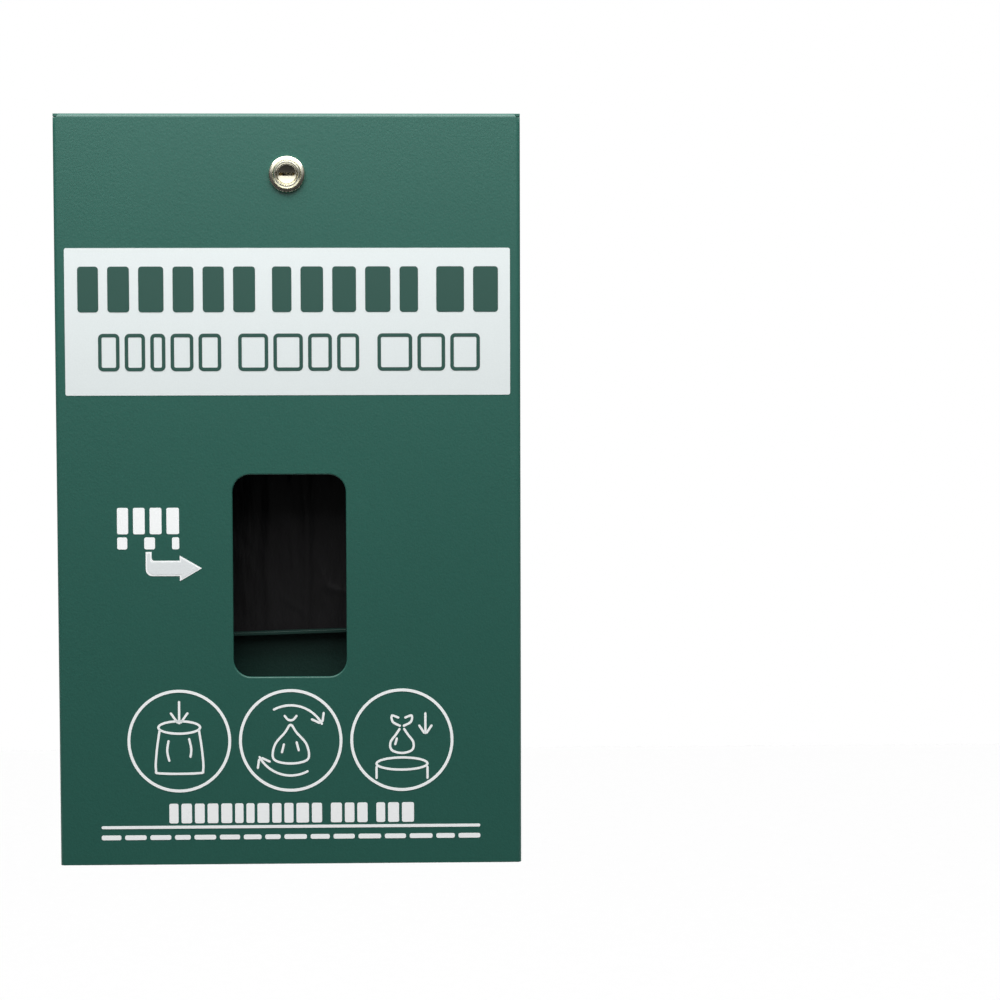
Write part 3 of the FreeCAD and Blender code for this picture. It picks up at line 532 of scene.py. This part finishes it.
def curved(points, closed=False):
    """A smooth path through the given points."""
    points = [Vector(p) for p in points]
    count = len(points)
    spans = count if closed else count - 1
    path = []

    def knot(k):
        return points[k % count] if closed else points[min(max(k, 0), count - 1)]

    for i in range(spans):
        a, b, c, d = (knot(k) for k in range(i - 1, i + 3))
        for step in range(CURVE_STEPS):
            t = step / CURVE_STEPS
            bend = (2 * a - 5 * b + 4 * c - d) * t**2
            twist = (3 * b - a - 3 * c + d) * t**3
            path.append(0.5 * (2 * b + (c - a) * t + bend + twist))
    if not closed:
        path.append(points[-1])
    return path


def stroke_edges(path, width, closed):
    """The left and right edges of a stroke along a path: mitred at its corners, and round at open ends."""
    count = len(path)
    left, right = [], []

    def station(centre, across, half):
        left.append(centre + across * half)
        right.append(centre - across * half)

    for i, here in enumerate(path):
        inward = here - path[i - 1] if closed or i > 0 else path[1] - here
        outward = path[(i + 1) % count] - here if closed or i < count - 1 else inward
        inward, outward = inward.normalized(), outward.normalized()
        along = (inward + outward).normalized()
        across = Vector((-along.y, along.x))
        half = width / 2 / max(across.dot(Vector((-inward.y, inward.x))), MITRE_LEAST)
        first, last = not closed and i == 0, not closed and i == count - 1
        for turn in reversed(CAP_ANGLES) if first else ():
            station(here - along * width / 2 * math.sin(turn), across, width / 2 * math.cos(turn))
        station(here, across, half)
        for turn in CAP_ANGLES if last else ():
            station(here + along * width / 2 * math.sin(turn), across, width / 2 * math.cos(turn))
    return left, right


class Print:
    """Gathers flat shapes in X and Z, and makes them one piece: a thin layer that stands on a surface."""

    def __init__(self, name, surface, thickness):
        self.name = name
        self.levels = (surface - PRINT_LIFT, surface - PRINT_LIFT - thickness)
        self.bm = bmesh.new()

    def ring(self, points):
        """The same outline at the layer's back and at its front."""
        return [[self.bm.verts.new((p[0], y, p[1])) for p in points] for y in self.levels]

    def outline(self, points):
        """A filled shape inside an outline."""
        back, front = self.ring(points)
        self.bm.faces.new(back)
        self.bm.faces.new(front)
        for i in range(len(points)):
            self.bm.faces.new((back[i - 1], back[i], front[i], front[i - 1]))

    def stroke(self, path, width, closed=False):
        """A line of even width along a path."""
        path = [Vector(p) for p in path]
        left, right = stroke_edges(path, width, closed)
        sides = [*self.ring(left), *reversed(self.ring(right))]
        stations = range(0 if closed else 1, len(left))
        for a, b in zip(sides, sides[1:] + sides[:1]):
            for i in stations:
                self.bm.faces.new((a[i - 1], a[i], b[i], b[i - 1]))
        if not closed:
            for end in (0, -1):
                self.bm.faces.new([side[end] for side in sides])

    def done(self, finish):
        """Makes the piece, which rides on the cover and takes a material slot."""
        bmesh.ops.recalc_face_normals(self.bm, faces=self.bm.faces)
        mesh = bpy.data.meshes.new(self.name)
        self.bm.to_mesh(mesh)
        self.bm.free()
        mesh.materials.append(finish)
        piece = bpy.data.objects.new(self.name, mesh)
        bpy.context.scene.collection.objects.link(piece)
        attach(piece, "cover")


def word_blocks(low, high, count, gap, rng):
    """The (low, high) spans of count blocks of uneven width that fill a run, with a gap between them."""
    shares = [rng.uniform(*BLOCK_SHARES) for _ in range(count)]
    room = (high - low) - gap * (count - 1)
    spans = []
    at = low
    for share in shares:
        width = room * share / sum(shares)
        spans.append((at, at + width))
        at += width + gap
    return spans


# Words on the sign are (start, end, blocks), with the first two as shares of its width.
# Rows on it are shares of its height.
SIGN_SEED = 11
BOLD_WORDS = [(0.029, 0.427, 6), (0.465, 0.793, 5), (0.834, 0.973, 2)]
BOLD_ROW = (0.565, 0.875)
BOLD_GAP = 4.6 * MM
THIN_WORDS = [(0.074, 0.350, 5), (0.388, 0.660, 4), (0.701, 0.932, 3)]
THIN_ROW = (0.165, 0.420)
THIN_GAP = 2.6 * MM
THIN_STROKE = 1.8 * MM
BLOCK_RADIUS = 1.6 * MM


def sign_prints(ink):
    """Two rows of plain blocks where the sign's message goes."""
    low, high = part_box("sign_decal")
    rng = random.Random(SIGN_SEED)

    def across(share):
        return low.x + (high.x - low.x) * share

    def up(row):
        return tuple(low.z + (high.z - low.z) * share for share in row)

    bold = Print("sign_bold_row", low.y, PRINT_THICKNESS)
    for start, end, count in BOLD_WORDS:
        for span in word_blocks(across(start), across(end), count, BOLD_GAP, rng):
            bold.outline(rounded_bar(span, up(BOLD_ROW), BLOCK_RADIUS))
    bold.done(ink)

    thin = Print("sign_thin_row", low.y, PRINT_THICKNESS)
    inset = THIN_STROKE / 2
    z = up(THIN_ROW)
    for start, end, count in THIN_WORDS:
        for span in word_blocks(across(start), across(end), count, THIN_GAP, rng):
            x = (span[0] + inset, span[1] - inset)
            thin.stroke(rounded_bar(x, (z[0] + inset, z[1] - inset), BLOCK_RADIUS), THIN_STROKE, closed=True)
    thin.done(ink)


ARROW_RIM = 0.7 * MM
ARROW_SHAFT_HALF = 3.9 * MM
ARROW_HEAD_HALF = 6.5 * MM
ARROW_HEAD_LENGTH = 11.2 * MM
ARROW_TAIL_WIDTH = 3.0 * MM
# The rows above the arrow, as (blocks, bottom, top, gap) with the last three in millimetres
CALL_ROWS = [(4, 9.0, 22.4, 2.5), (3, 1.3, 7.4, 8.6)]
CALL_BEFORE = 14.3 * MM
CALL_AFTER = 17.0 * MM
CALL_SEED = 5


def arrow_prints(white, grey):
    """The grey fill inside the white arrow, and two rows of blocks above it."""
    low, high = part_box("arrow_decal")
    rng = random.Random(CALL_SEED)
    middle = low.z + ARROW_HEAD_HALF
    neck = high.x - ARROW_HEAD_LENGTH
    shaft = ARROW_SHAFT_HALF - ARROW_RIM
    slope = ARROW_HEAD_HALF / ARROW_HEAD_LENGTH
    tip = high.x - ARROW_RIM * math.hypot(1, slope) / slope
    half_head = (tip - neck - ARROW_RIM) * slope
    tail = low.x + ARROW_RIM
    fill = Print("arrow_fill", low.y, PRINT_THICKNESS)
    fill.outline(
        [
            (tail, high.z - ARROW_RIM),
            (tail, middle - shaft + ARROW_TAIL_WIDTH),
            (tail + ARROW_TAIL_WIDTH / 3, middle - shaft + ARROW_TAIL_WIDTH / 3),
            (tail + ARROW_TAIL_WIDTH, middle - shaft),
            (neck + ARROW_RIM, middle - shaft),
            (neck + ARROW_RIM, middle - half_head),
            (tip, middle),
            (neck + ARROW_RIM, middle + half_head),
            (neck + ARROW_RIM, middle + shaft),
            (low.x + ARROW_TAIL_WIDTH, middle + shaft),
            (low.x + ARROW_TAIL_WIDTH - ARROW_RIM, middle + shaft + ARROW_RIM),
            (low.x + ARROW_TAIL_WIDTH - ARROW_RIM, high.z - ARROW_RIM),
        ]
    )
    fill.done(grey)

    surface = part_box("sign_decal")[1].y
    rows = Print("arrow_rows", surface, PRINT_THICKNESS)
    for count, bottom, top, gap in CALL_ROWS:
        z = (high.z + bottom * MM, high.z + top * MM)
        for span in word_blocks(low.x - CALL_BEFORE, low.x + CALL_AFTER, count, gap * MM, rng):
            rows.outline(rounded_bar(span, z, SMALL_RADIUS))
    rows.done(white)


# Rows under the rings, in millimetres from their centres. Words are (start, end, blocks), with the first two
# from the middle of the cover.
HEADING_WORDS = [(-62.0, 15.7, 12), (20.2, 38.9, 3), (43.4, 62.6, 3)]
HEADING_ROW = (-42.2, -32.1)
HEADING_GAP = 1.5
RULE_ROW = (-44.9, -43.4)
NOTE_ROW = (-50.6, -48.2)
NOTE_HALF = 96.5
NOTE_WORDS = 16
NOTE_GAP = 1.9
FOOTER_SEED = 3


def footer_prints(white):
    """The heading, the ruled line and the small row at the foot of the cover, as plain bars."""
    low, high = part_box("step_decals")
    centre = (low.z + high.z) / 2
    surface = high.y
    rng = random.Random(FOOTER_SEED)

    def up(row):
        return tuple(centre + z * MM for z in row)

    heading = Print("heading_row", surface, PRINT_THICKNESS)
    for start, end, count in HEADING_WORDS:
        for span in word_blocks(start * MM, end * MM, count, HEADING_GAP * MM, rng):
            heading.outline(rounded_bar(span, up(HEADING_ROW), SMALL_RADIUS))
    heading.done(white)

    note = Print("note_rows", surface, PRINT_THICKNESS)
    side = NOTE_HALF * MM
    note.outline(rounded_bar((-side, side), up(RULE_ROW), SMALL_RADIUS))
    for span in word_blocks(-side, side, NOTE_WORDS, NOTE_GAP * MM, rng):
        note.outline(rounded_bar(span, up(NOTE_ROW), SMALL_RADIUS))
    note.done(white)


# The icons are drawn in millimetres from the middle of their ring. Each is a list of (path, closed) strokes.
ICON_STROKE = 1.15
BAG_MOUTH_AT = (0, 7)
BAG_MOUTH_RADIUS = 10.6
BAG_MOUTH_FLATTEN = 0.3
BAG_MOUTH_STEPS = 36
BAG_ARROW = [[(0, 20), (0, 9.2)], [(-4.2, 14.2), (-0.9, 9.6)], [(4.2, 14.2), (0.9, 9.6)]]
OPEN_BAG_LEFT = [(-10, 5.5), (-11.5, -5), (-12, -14.5), (-9.5, -16.5)]
OPEN_BAG_CREASES = [[(-5.5, 0), (-6.2, -5), (-5.2, -10)], [(5.0, 1), (6.0, -4), (5.6, -8)]]
SACK = [(0, 8), (-3, 4), (-8, -2), (-9, -9), (-4, -11.5), (4, -11.5), (9, -9), (8, -2), (3, 4)]
SACK_CREASES = [[(-3.5, -2), (-4.5, -6)], [(3.0, -1), (4.0, -5)]]
SACK_NECK = [(-3, 12.6), (-1.2, 10.6), (1.2, 10.6), (3, 12.6)]
TURN_RADIUS = 18
TURN_SPAN = (28, 118)
TURN_STEPS = 18
TURN_BARB_BACK = 4.4
TURN_BARB_OUT = 3.4
# A barb starts this share of the way along itself, so that the two don't run over the arrow's end
BARB_START = (0.25, 0.28)
TIED_BAG_LEFT = [(-1.2, 5.5), (-3.2, 2.5), (-5.8, -1.2), (-5.2, -5.2)]
TIED_BAG_FOOT = (0, -6.8)
KNOT_LOOP = [(-1.0, 7.2), (-4.6, 9.2), (-5.0, 12.4), (-1.8, 11.4)]
TIED_BAG_CREASE = [(-2.6, 0.6), (-3.4, -2.2)]
BIN_HALF = 13
BIN_RIM_AT = (0, -12.2)
BIN_RIM_FLATTEN = 0.24
BIN_RIM_STEPS = 40
BIN_SIDE = (-14.0, -19.6)
BIN_ARROW = [[(12, 13.5), (12, 3.5)], [(8.9, 7.2), (11.3, 3.6)], [(15.1, 7.2), (12.7, 3.6)]]


def mirrored(points):
    """The same points on the other side of the middle."""
    return [(-x, z) for x, z in points]


def ellipse(centre, radius, flatten, steps):
    """A closed stroke all the way round an ellipse."""
    return (arc(centre, radius, 0, 360, steps, flatten)[:-1], True)


def lines(paths):
    """Open strokes along straight lines."""
    return [(path, False) for path in paths]


def curves(paths):
    """Open strokes along smooth curves."""
    return [(curved(path), False) for path in paths]


def open_bag_icon():
    """An open bag with an arrow pointing into it."""
    return [
        ellipse(BAG_MOUTH_AT, BAG_MOUTH_RADIUS, BAG_MOUTH_FLATTEN, BAG_MOUTH_STEPS),
        *curves([OPEN_BAG_LEFT + mirrored(OPEN_BAG_LEFT)[::-1], *OPEN_BAG_CREASES]),
        *lines(BAG_ARROW),
    ]


def turned_bag_icon():
    """A small sack between two arrows that go round it."""
    icon = [(curved(SACK, closed=True), True), *curves([*SACK_CREASES, SACK_NECK])]
    start, end = TURN_SPAN
    near, narrow = BARB_START
    for turn in (0, 180):
        icon += lines([arc((0, 0), TURN_RADIUS, start + turn, end + turn, TURN_STEPS)])
        angle = math.radians(start + turn)
        tip = Vector((math.cos(angle), math.sin(angle))) * TURN_RADIUS
        back = Vector((-math.sin(angle), math.cos(angle))) * TURN_BARB_BACK
        out = Vector((math.cos(angle), math.sin(angle))) * TURN_BARB_OUT
        for side in (-1, 1):
            icon += lines([[tip + back * near + out * side * narrow, tip + back + out * side]])
    return icon


def tied_bag_icon():
    """A tied bag over a round bin."""
    bag = [*TIED_BAG_LEFT, TIED_BAG_FOOT, *mirrored(TIED_BAG_LEFT)[::-1]]
    sides = [[(side * BIN_HALF, z) for z in BIN_SIDE] for side in (-1, 1)]
    return [
        *curves([bag, KNOT_LOOP, mirrored(KNOT_LOOP), TIED_BAG_CREASE]),
        ellipse(BIN_RIM_AT, BIN_HALF, BIN_RIM_FLATTEN, BIN_RIM_STEPS),
        *lines([*sides, *BIN_ARROW]),
    ]


def step_prints(white):
    """One plain line drawing inside each ring."""
    low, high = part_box("step_decals")
    radius = (high.z - low.z) / 2
    centre = Vector(((low.x + high.x) / 2, (low.z + high.z) / 2))
    pitch = (high.x - low.x) / 2 - radius
    drawings = {
        "step_one_icon": open_bag_icon(),
        "step_two_icon": turned_bag_icon(),
        "step_three_icon": tied_bag_icon(),
    }
    for place, (name, strokes) in zip((-1, 0, 1), drawings.items()):
        middle = centre + Vector((place * pitch, 0))
        icon = Print(name, high.y, PRINT_THICKNESS)
        for path, closed in strokes:
            icon.stroke([middle + Vector(p) * MM for p in path], ICON_STROKE * MM, closed)
        icon.done(white)


def make_prints(finishes):
    """Everything that is printed on the cover and on its sign."""
    white = finishes["print_white"]
    sign_prints(finishes["sign_ink"])
    arrow_prints(white, finishes["arrow_grey"])
    footer_prints(white)
    step_prints(white)


# ---------------------------------------------------------------- the refill of bags

pack_low, pack_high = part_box("bag_pack")
stud_low, stud_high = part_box("bag_stud")
STUD_Z = (stud_low.z + stud_high.z) / 2
TAB_HEAD_RADIUS = 14.0 * MM
TAB_NECK_HALF = 11.0 * MM
TAB_HEIGHT = 37.0 * MM
TAB_HOLE = 3.5 * MM
NOTCH_RADIUS = 11.0 * MM
NOTCH_Z = STUD_Z - (TAB_HEIGHT - TAB_HEAD_RADIUS)
PERFORATION_Z = NOTCH_Z + 3.0 * MM
BAG_HALF = pack_high.x
HANDLE_INNER = BAG_HALF - 33.0 * MM
HEM = 10.0 * MM

LEAVES = 12
# The share of a leaf's room that its bags fill, and the free space before and behind the stack
FILL = 0.72
CLEAR = 0.4 * MM
FINE_STEP = 1.3 * MM
COARSE_STEP = 3.0 * MM
SMOOTH_BELOW_DEG = 50
STACK_SEED = 21

# The stack's front stands out by SLACK at most, and these are shares of it
SLACK = 2.4 * MM
BROAD_WAVE = 0.42
GUSSET_STEP = 0.22
GUSSET_FOLD = 0.16
MAIN_RIDGE = 0.30
SIDE_RIDGE = 0.18
WRINKLES = 0.16
WRINKLES_MIDDLE = 0.35
HANDLE_WAVES = 0.14

# Waves as (pitch across, seed, pitch along)
BROAD_PITCH = (17, 0.3, 9)
WRINKLE_PITCH = (85, 1.7, 18)
HANDLE_PITCH = (12, 5.2, 150)
HEM_PITCH = (160, 2.4, 40)
HEM_FINE_PITCH = (420, 8.8, 90)
HEM_FINE = 0.6
WRINKLE_SLANT = 0.7

# Widths of the folds and ridges, and the lengths over which parts of the bag blend into each other
GUSSET_WIDTH = 1.6 * MM
GUSSET_BLEND = 4 * MM
RIDGE_AT = 5 * MM
RIDGE_WANDER = 3 * MM
MAIN_RIDGE_WIDTH = 2.6 * MM
SIDE_RIDGE_WIDTH = 3.6 * MM
# The side ridge is this many times as far from the middle as the main one, on the other side
SIDE_RIDGE_AT = 2.5
BODY_BELOW = 8 * MM
BODY_BLEND = 30 * MM
LEFT_FROM = 10 * MM
LEFT_BLEND = 40 * MM
HANDLE_BLEND = 20 * MM
TAB_BELOW = 26 * MM
TAB_BLEND = 30 * MM
TAB_ASIDE = 15 * MM
TAB_ASIDE_BLEND = 17 * MM
HEM_BLEND = 6 * MM
WELD_WIDTH = 0.9 * MM

# How far the handles fan out to the front, and how unevenly the two do
HANDLE_FAN = 4.5 * MM
FAN_UNEVEN = 0.3

# How far each leaf may sit aside, hang lower, and lean at its handles
LEAF_SHIFT = 1.3 * MM
LEAF_DROP = 1.6 * MM
LEAF_LEAN = 1.0 * MM
EDGE_WAVE = 1.0 * MM

HEM_RUFFLE = 0.55 * MM
HEM_WELD = 0.25 * MM

# Leans are (usual, spread) in degrees from upright, and lengths are half lengths in millimetres
BODY_CREASES = 70
BODY_CREASE_REACH = 0.95
BODY_CREASE_LEAN = (0, 26)
LEFT_CREASE_LEAN = (-48, 16)
LEFT_CREASES_FROM = -20 * MM
BODY_CREASE_LENGTHS = (8, 34)
HANDLE_CREASES = 12
HANDLE_CREASE_LEAN = (90, 22)
HANDLE_CREASE_LENGTHS = (6, 20)
CREASE_WIDTHS = (0.9, 1.9)
CREASE_HEIGHTS = (0.2, 0.65)
CREASE_WANDER = 1.5 * MM
CREASE_STEP = 0.25
# Folds from packing, straight across the bag, as shares of its height
PACKING_FOLDS = (0.13, 0.60, 0.80)
PACKING_FOLD_LEAN = 90.0
PACKING_FOLD_LENGTH = 2.2 * BAG_HALF


def even(low, high, step):
    """Numbers from low to high, about step apart."""
    count = max(1, round((high - low) / step))
    return [low + (high - low) * i / count for i in range(count + 1)]


def smooth(t):
    """An even rise from 0 at t = 0 to 1 at t = 1, flat at both ends."""
    t = min(max(t, 0.0), 1.0)
    return t * t * (3 - 2 * t)


def mix(a, b, t):
    """a at t = 0, b at t = 1."""
    return a + (b - a) * t


def flare(height):
    """How far the notch's rounded corner reaches at a height above the notch's foot."""
    rest = NOTCH_RADIUS - min(max(height, 0.0), NOTCH_RADIUS)
    return NOTCH_RADIUS - math.sqrt(NOTCH_RADIUS**2 - rest**2)


class FlatBag:
    """One bag laid flat in X and Z: a body, two handles, and a header tab with a hole for the stud."""

    def __init__(self, step):
        self.points = []
        self.quads = []
        self.step = step
        outer = NOTCH_RADIUS + TAB_NECK_HALF
        inner = HANDLE_INNER - NOTCH_RADIUS
        handle = even(-BAG_HALF, -inner, step)
        notch = even(-inner, -outer, step)
        tab = even(-outer, outer, step)
        left = handle + notch[1:]
        columns = left + tab[1:] + [-x for x in reversed(left)][1:]
        rows = [[self.vertex(x, z) for x in columns] for z in even(pack_low.z, NOTCH_Z, step)]
        self.grid(rows)
        top = rows[-1]
        self.handle(top[: len(handle)], -1)
        self.handle(top[-len(handle):], 1)
        start = len(handle) + len(notch) - 2
        self.tab(top[start: start + len(tab)])

    def vertex(self, x, z):
        self.points.append((x, z))
        return len(self.points) - 1

    def grid(self, rows):
        """Quads between rows of points."""
        for low, high in zip(rows, rows[1:]):
            for i in range(len(low) - 1):
                self.quads.append((low[i], low[i + 1], high[i + 1], high[i]))

    def handle(self, foot, side):
        """Rows of points up a handle, which narrows above the notch's rounded corner."""
        insets = [BAG_HALF - abs(self.points[i][0]) for i in foot]
        widest = max(insets)
        rows = [foot]
        for z in even(NOTCH_Z, pack_high.z, self.step)[1:]:
            width = BAG_HALF - HANDLE_INNER + flare(z - NOTCH_Z)
            rows.append([self.vertex(side * (BAG_HALF - width * inset / widest), z) for inset in insets])
        self.grid(rows)

    def tab(self, foot):
        """Rows of points up the tab's neck, with its round head on top."""
        widest = abs(self.points[foot[0]][0])
        rows = [foot]
        for z in even(NOTCH_Z, NOTCH_Z + NOTCH_RADIUS, self.step)[1:]:
            half = TAB_NECK_HALF + flare(z - NOTCH_Z)
            rows.append([self.vertex(self.points[i][0] / widest * half, z) for i in foot])
        self.grid(rows)
        self.head(rows[-1])

    def head(self, foot):
        """Rings of points from the tab's outline in to the hole."""
        centre = Vector((0.0, STUD_Z))
        corner = math.degrees(math.acos(TAB_NECK_HALF / TAB_HEAD_RADIUS))
        around = max(12, round(math.radians(180 + 2 * corner) * TAB_HEAD_RADIUS / self.step))
        outline = [self.vertex(*p) for p in arc(centre, TAB_HEAD_RADIUS, -corner, 180 + corner, around)]
        ring = foot + outline
        count = max(2, round((TAB_HEAD_RADIUS - TAB_HOLE) / self.step))
        edge = [Vector(self.points[i]) - centre for i in ring]
        for k in range(1, count + 1):
            share = k / count
            inner = [self.vertex(*(centre + mix(p, p.normalized() * TAB_HOLE, share))) for p in edge]
            for i in range(len(ring)):
                self.quads.append((ring[i - 1], ring[i], inner[i], inner[i - 1]))
            ring = inner

    def rim(self):
        """The edges that only one quad uses."""
        uses = {}
        for quad in self.quads:
            for a, b in zip(quad, quad[1:] + quad[:1]):
                key = (min(a, b), max(a, b))
                uses.setdefault(key, []).append((a, b))
        return [edges[0] for edges in uses.values() if len(edges) == 1]


def wave(x, z, across, seed, along):
    """A soft random wave between -1 and 1, with its own pitch across and along the bag."""
    return noise.noise(Vector((x * across, seed, z * along)))


def ridge(distance, width):
    """1 at distance 0, falling smoothly to nothing by about two widths."""
    return math.exp(-((distance / width) ** 2))


def slack(x, z):
    """How far the stack's front stands out, as a share of SLACK: gusset folds, ridges and soft waves."""
    past_gusset = abs(x) - HANDLE_INNER
    gusset_step = GUSSET_STEP * smooth((past_gusset + GUSSET_BLEND / 2) / GUSSET_BLEND)
    gusset = gusset_step + GUSSET_FOLD * ridge(past_gusset, GUSSET_WIDTH)
    wander = RIDGE_AT + RIDGE_WANDER * noise.noise(Vector((7.1, 0.0, z * 14)))
    body = smooth((NOTCH_Z - BODY_BELOW - z) / BODY_BLEND)
    main = MAIN_RIDGE * ridge(x - wander, MAIN_RIDGE_WIDTH) * body
    long_ridges = main + SIDE_RIDGE * ridge(x + SIDE_RIDGE_AT * wander, SIDE_RIDGE_WIDTH) * body
    left = smooth((-x - LEFT_FROM) / LEFT_BLEND) * body
    slanted = wave(x + z * WRINKLE_SLANT, z - x * WRINKLE_SLANT, *WRINKLE_PITCH)
    wrinkles = WRINKLES * slanted * (WRINKLES_MIDDLE + left)
    handle_waves = HANDLE_WAVES * wave(x, z, *HANDLE_PITCH) * smooth((z - NOTCH_Z) / HANDLE_BLEND)
    broad = BROAD_WAVE * (0.5 + 0.5 * wave(x, z, *BROAD_PITCH))
    return broad + gusset + long_ridges + wrinkles + handle_waves


def tabness(x, z):
    """1 on the tab, which the washer presses flat, and 0 on the body and the handles."""
    high = smooth((z - NOTCH_Z + TAB_BELOW) / TAB_BLEND)
    return high * (1 - smooth((abs(x) - TAB_ASIDE) / TAB_ASIDE_BLEND))


def hem_ruffle(x, z):
    """The rippled hem at the foot of the front bag, below its pressed weld line."""
    inside = smooth((pack_low.z + HEM - z) / HEM_BLEND)
    ripple = wave(x, z, *HEM_PITCH) + HEM_FINE * wave(x, z, *HEM_FINE_PITCH)
    return HEM_RUFFLE * ripple * inside - HEM_WELD * ridge(z - pack_low.z - HEM, WELD_WIDTH)


def make_creases(rng):
    """Sharp creases in the front bag, as (middle, direction, half length, width, height)."""
    creases = []
    reach = BODY_CREASE_REACH
    body = (pack_low.z + HEM, NOTCH_Z - 4 * MM)
    for _ in range(BODY_CREASES):
        middle = Vector((rng.uniform(-reach, reach) * BAG_HALF, rng.uniform(*body)))
        lean = rng.gauss(*(BODY_CREASE_LEAN if middle.x > LEFT_CREASES_FROM else LEFT_CREASE_LEAN))
        creases.append((middle, lean, rng.uniform(*BODY_CREASE_LENGTHS) * MM))
    for side in (-1, 1):
        for _ in range(HANDLE_CREASES):
            middle = Vector((side * rng.uniform(HANDLE_INNER, BAG_HALF), rng.uniform(NOTCH_Z, pack_high.z)))
            lean = rng.gauss(*HANDLE_CREASE_LEAN)
            creases.append((middle, lean, rng.uniform(*HANDLE_CREASE_LENGTHS) * MM))
    for level in PACKING_FOLDS:
        middle = Vector((0, mix(pack_low.z, pack_high.z, level)))
        creases.append((middle, PACKING_FOLD_LEAN, PACKING_FOLD_LENGTH))
    made = []
    for middle, lean, half in creases:
        turn = math.radians(lean)
        along = Vector((math.sin(turn), math.cos(turn)))
        width = rng.uniform(*CREASE_WIDTHS) * MM
        height = rng.uniform(*CREASE_HEIGHTS) * MM
        made.append((middle, along, half, width, height))
    return made


def creased(creases, x, z):
    """How far the creases lift the front bag at a point."""
    lift = 0.0
    for middle, along, half, width, height in creases:
        offset = Vector((x, z)) - middle
        run = offset.dot(along) / half
        if abs(run) >= 1:
            continue
        across = offset.cross(along) + CREASE_WANDER * math.sin(run * 3)
        fade = (1 - run * run) ** 2
        step = CREASE_STEP * math.tanh(across / width) * ridge(across, 6 * width)
        lift += height * fade * (ridge(across, width) + step)
    return lift


def bag_leaf(index, flat, film, tab_span, rng):
    """One layer of the stack: a few bags that lie together, closed all round."""
    share = index / (LEAVES - 1)
    pitch = (pack_high.y - pack_low.y - SLACK - 2 * CLEAR) / LEAVES
    tab_pitch = (tab_span[0] - tab_span[1] - 2 * CLEAR) / LEAVES
    shift = rng.uniform(-LEAF_SHIFT, LEAF_SHIFT)
    drop = rng.uniform(-LEAF_DROP, LEAF_DROP)
    lean = rng.uniform(-LEAF_LEAN, LEAF_LEAN)
    seed = rng.uniform(0, 50)
    front_leaf = index == LEAVES - 1
    creases = make_creases(rng) if front_leaf else []

    def place(x, z, layer):
        tab = tabness(x, z)
        body_y = pack_high.y - CLEAR - pitch * (index + layer) - SLACK * share * slack(x, z)
        tab_y = tab_span[0] - CLEAR - tab_pitch * (index + layer)
        y = mix(body_y, tab_y, tab)
        up = smooth((z - NOTCH_Z) / (pack_high.z - NOTCH_Z)) * (1 - tab)
        down = smooth((NOTCH_Z - z) / (NOTCH_Z - pack_low.z))
        y -= HANDLE_FAN * share * up * up * (1 + FAN_UNEVEN * math.copysign(1, x))
        if front_leaf:
            y -= (hem_ruffle(x, z) + creased(creases, x, z)) * (1 - tab)
        edge = smooth((abs(x) - HANDLE_INNER) / (BAG_HALF - HANDLE_INNER))
        aside = (shift + EDGE_WAVE * noise.noise(Vector((seed, x * 3, z * 22)))) * edge + lean * up
        return Vector((x + aside, y, z + drop * (down - up)))

    bm = bmesh.new()
    back, front = ([bm.verts.new(place(x, z, layer)) for x, z in flat.points] for layer in (0, FILL))
    for quad in flat.quads:
        bm.faces.new([front[i] for i in quad])
        bm.faces.new([back[i] for i in reversed(quad)])
    for a, b in flat.rim():
        bm.faces.new((front[b], front[a], back[a], back[b]))
    bmesh.ops.recalc_face_normals(bm, faces=bm.faces)
    name = f"bag_leaf_{index + 1:02d}"
    mesh = bpy.data.meshes.new(name)
    bm.to_mesh(mesh)
    bm.free()
    mesh.shade_smooth()
    mesh.set_sharp_from_angle(angle=math.radians(SMOOTH_BELOW_DEG))
    mesh.materials.append(film)
    leaf = bpy.data.objects.new(name, mesh)
    bpy.context.scene.collection.objects.link(leaf)
    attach(leaf, "housing")
    return leaf


def make_bags():
    """The refill: layers of bags whose tabs hang on the stud between the spacer and the clamp washer."""
    film = bag_film()
    tab_span = (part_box("stud_spacer")[0].y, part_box("clamp_washer")[1].y)
    rng = random.Random(STACK_SEED)
    fine, coarse = FlatBag(FINE_STEP), FlatBag(COARSE_STEP)
    for index in range(LEAVES):
        bag_leaf(index, fine if index == LEAVES - 1 else coarse, film, tab_span, rng)
    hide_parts("bag_pack")


make_camera()
light_scene()
make_floor()
materials = make_finishes()
paint_nodes(materials)
make_prints(materials)
make_bags()
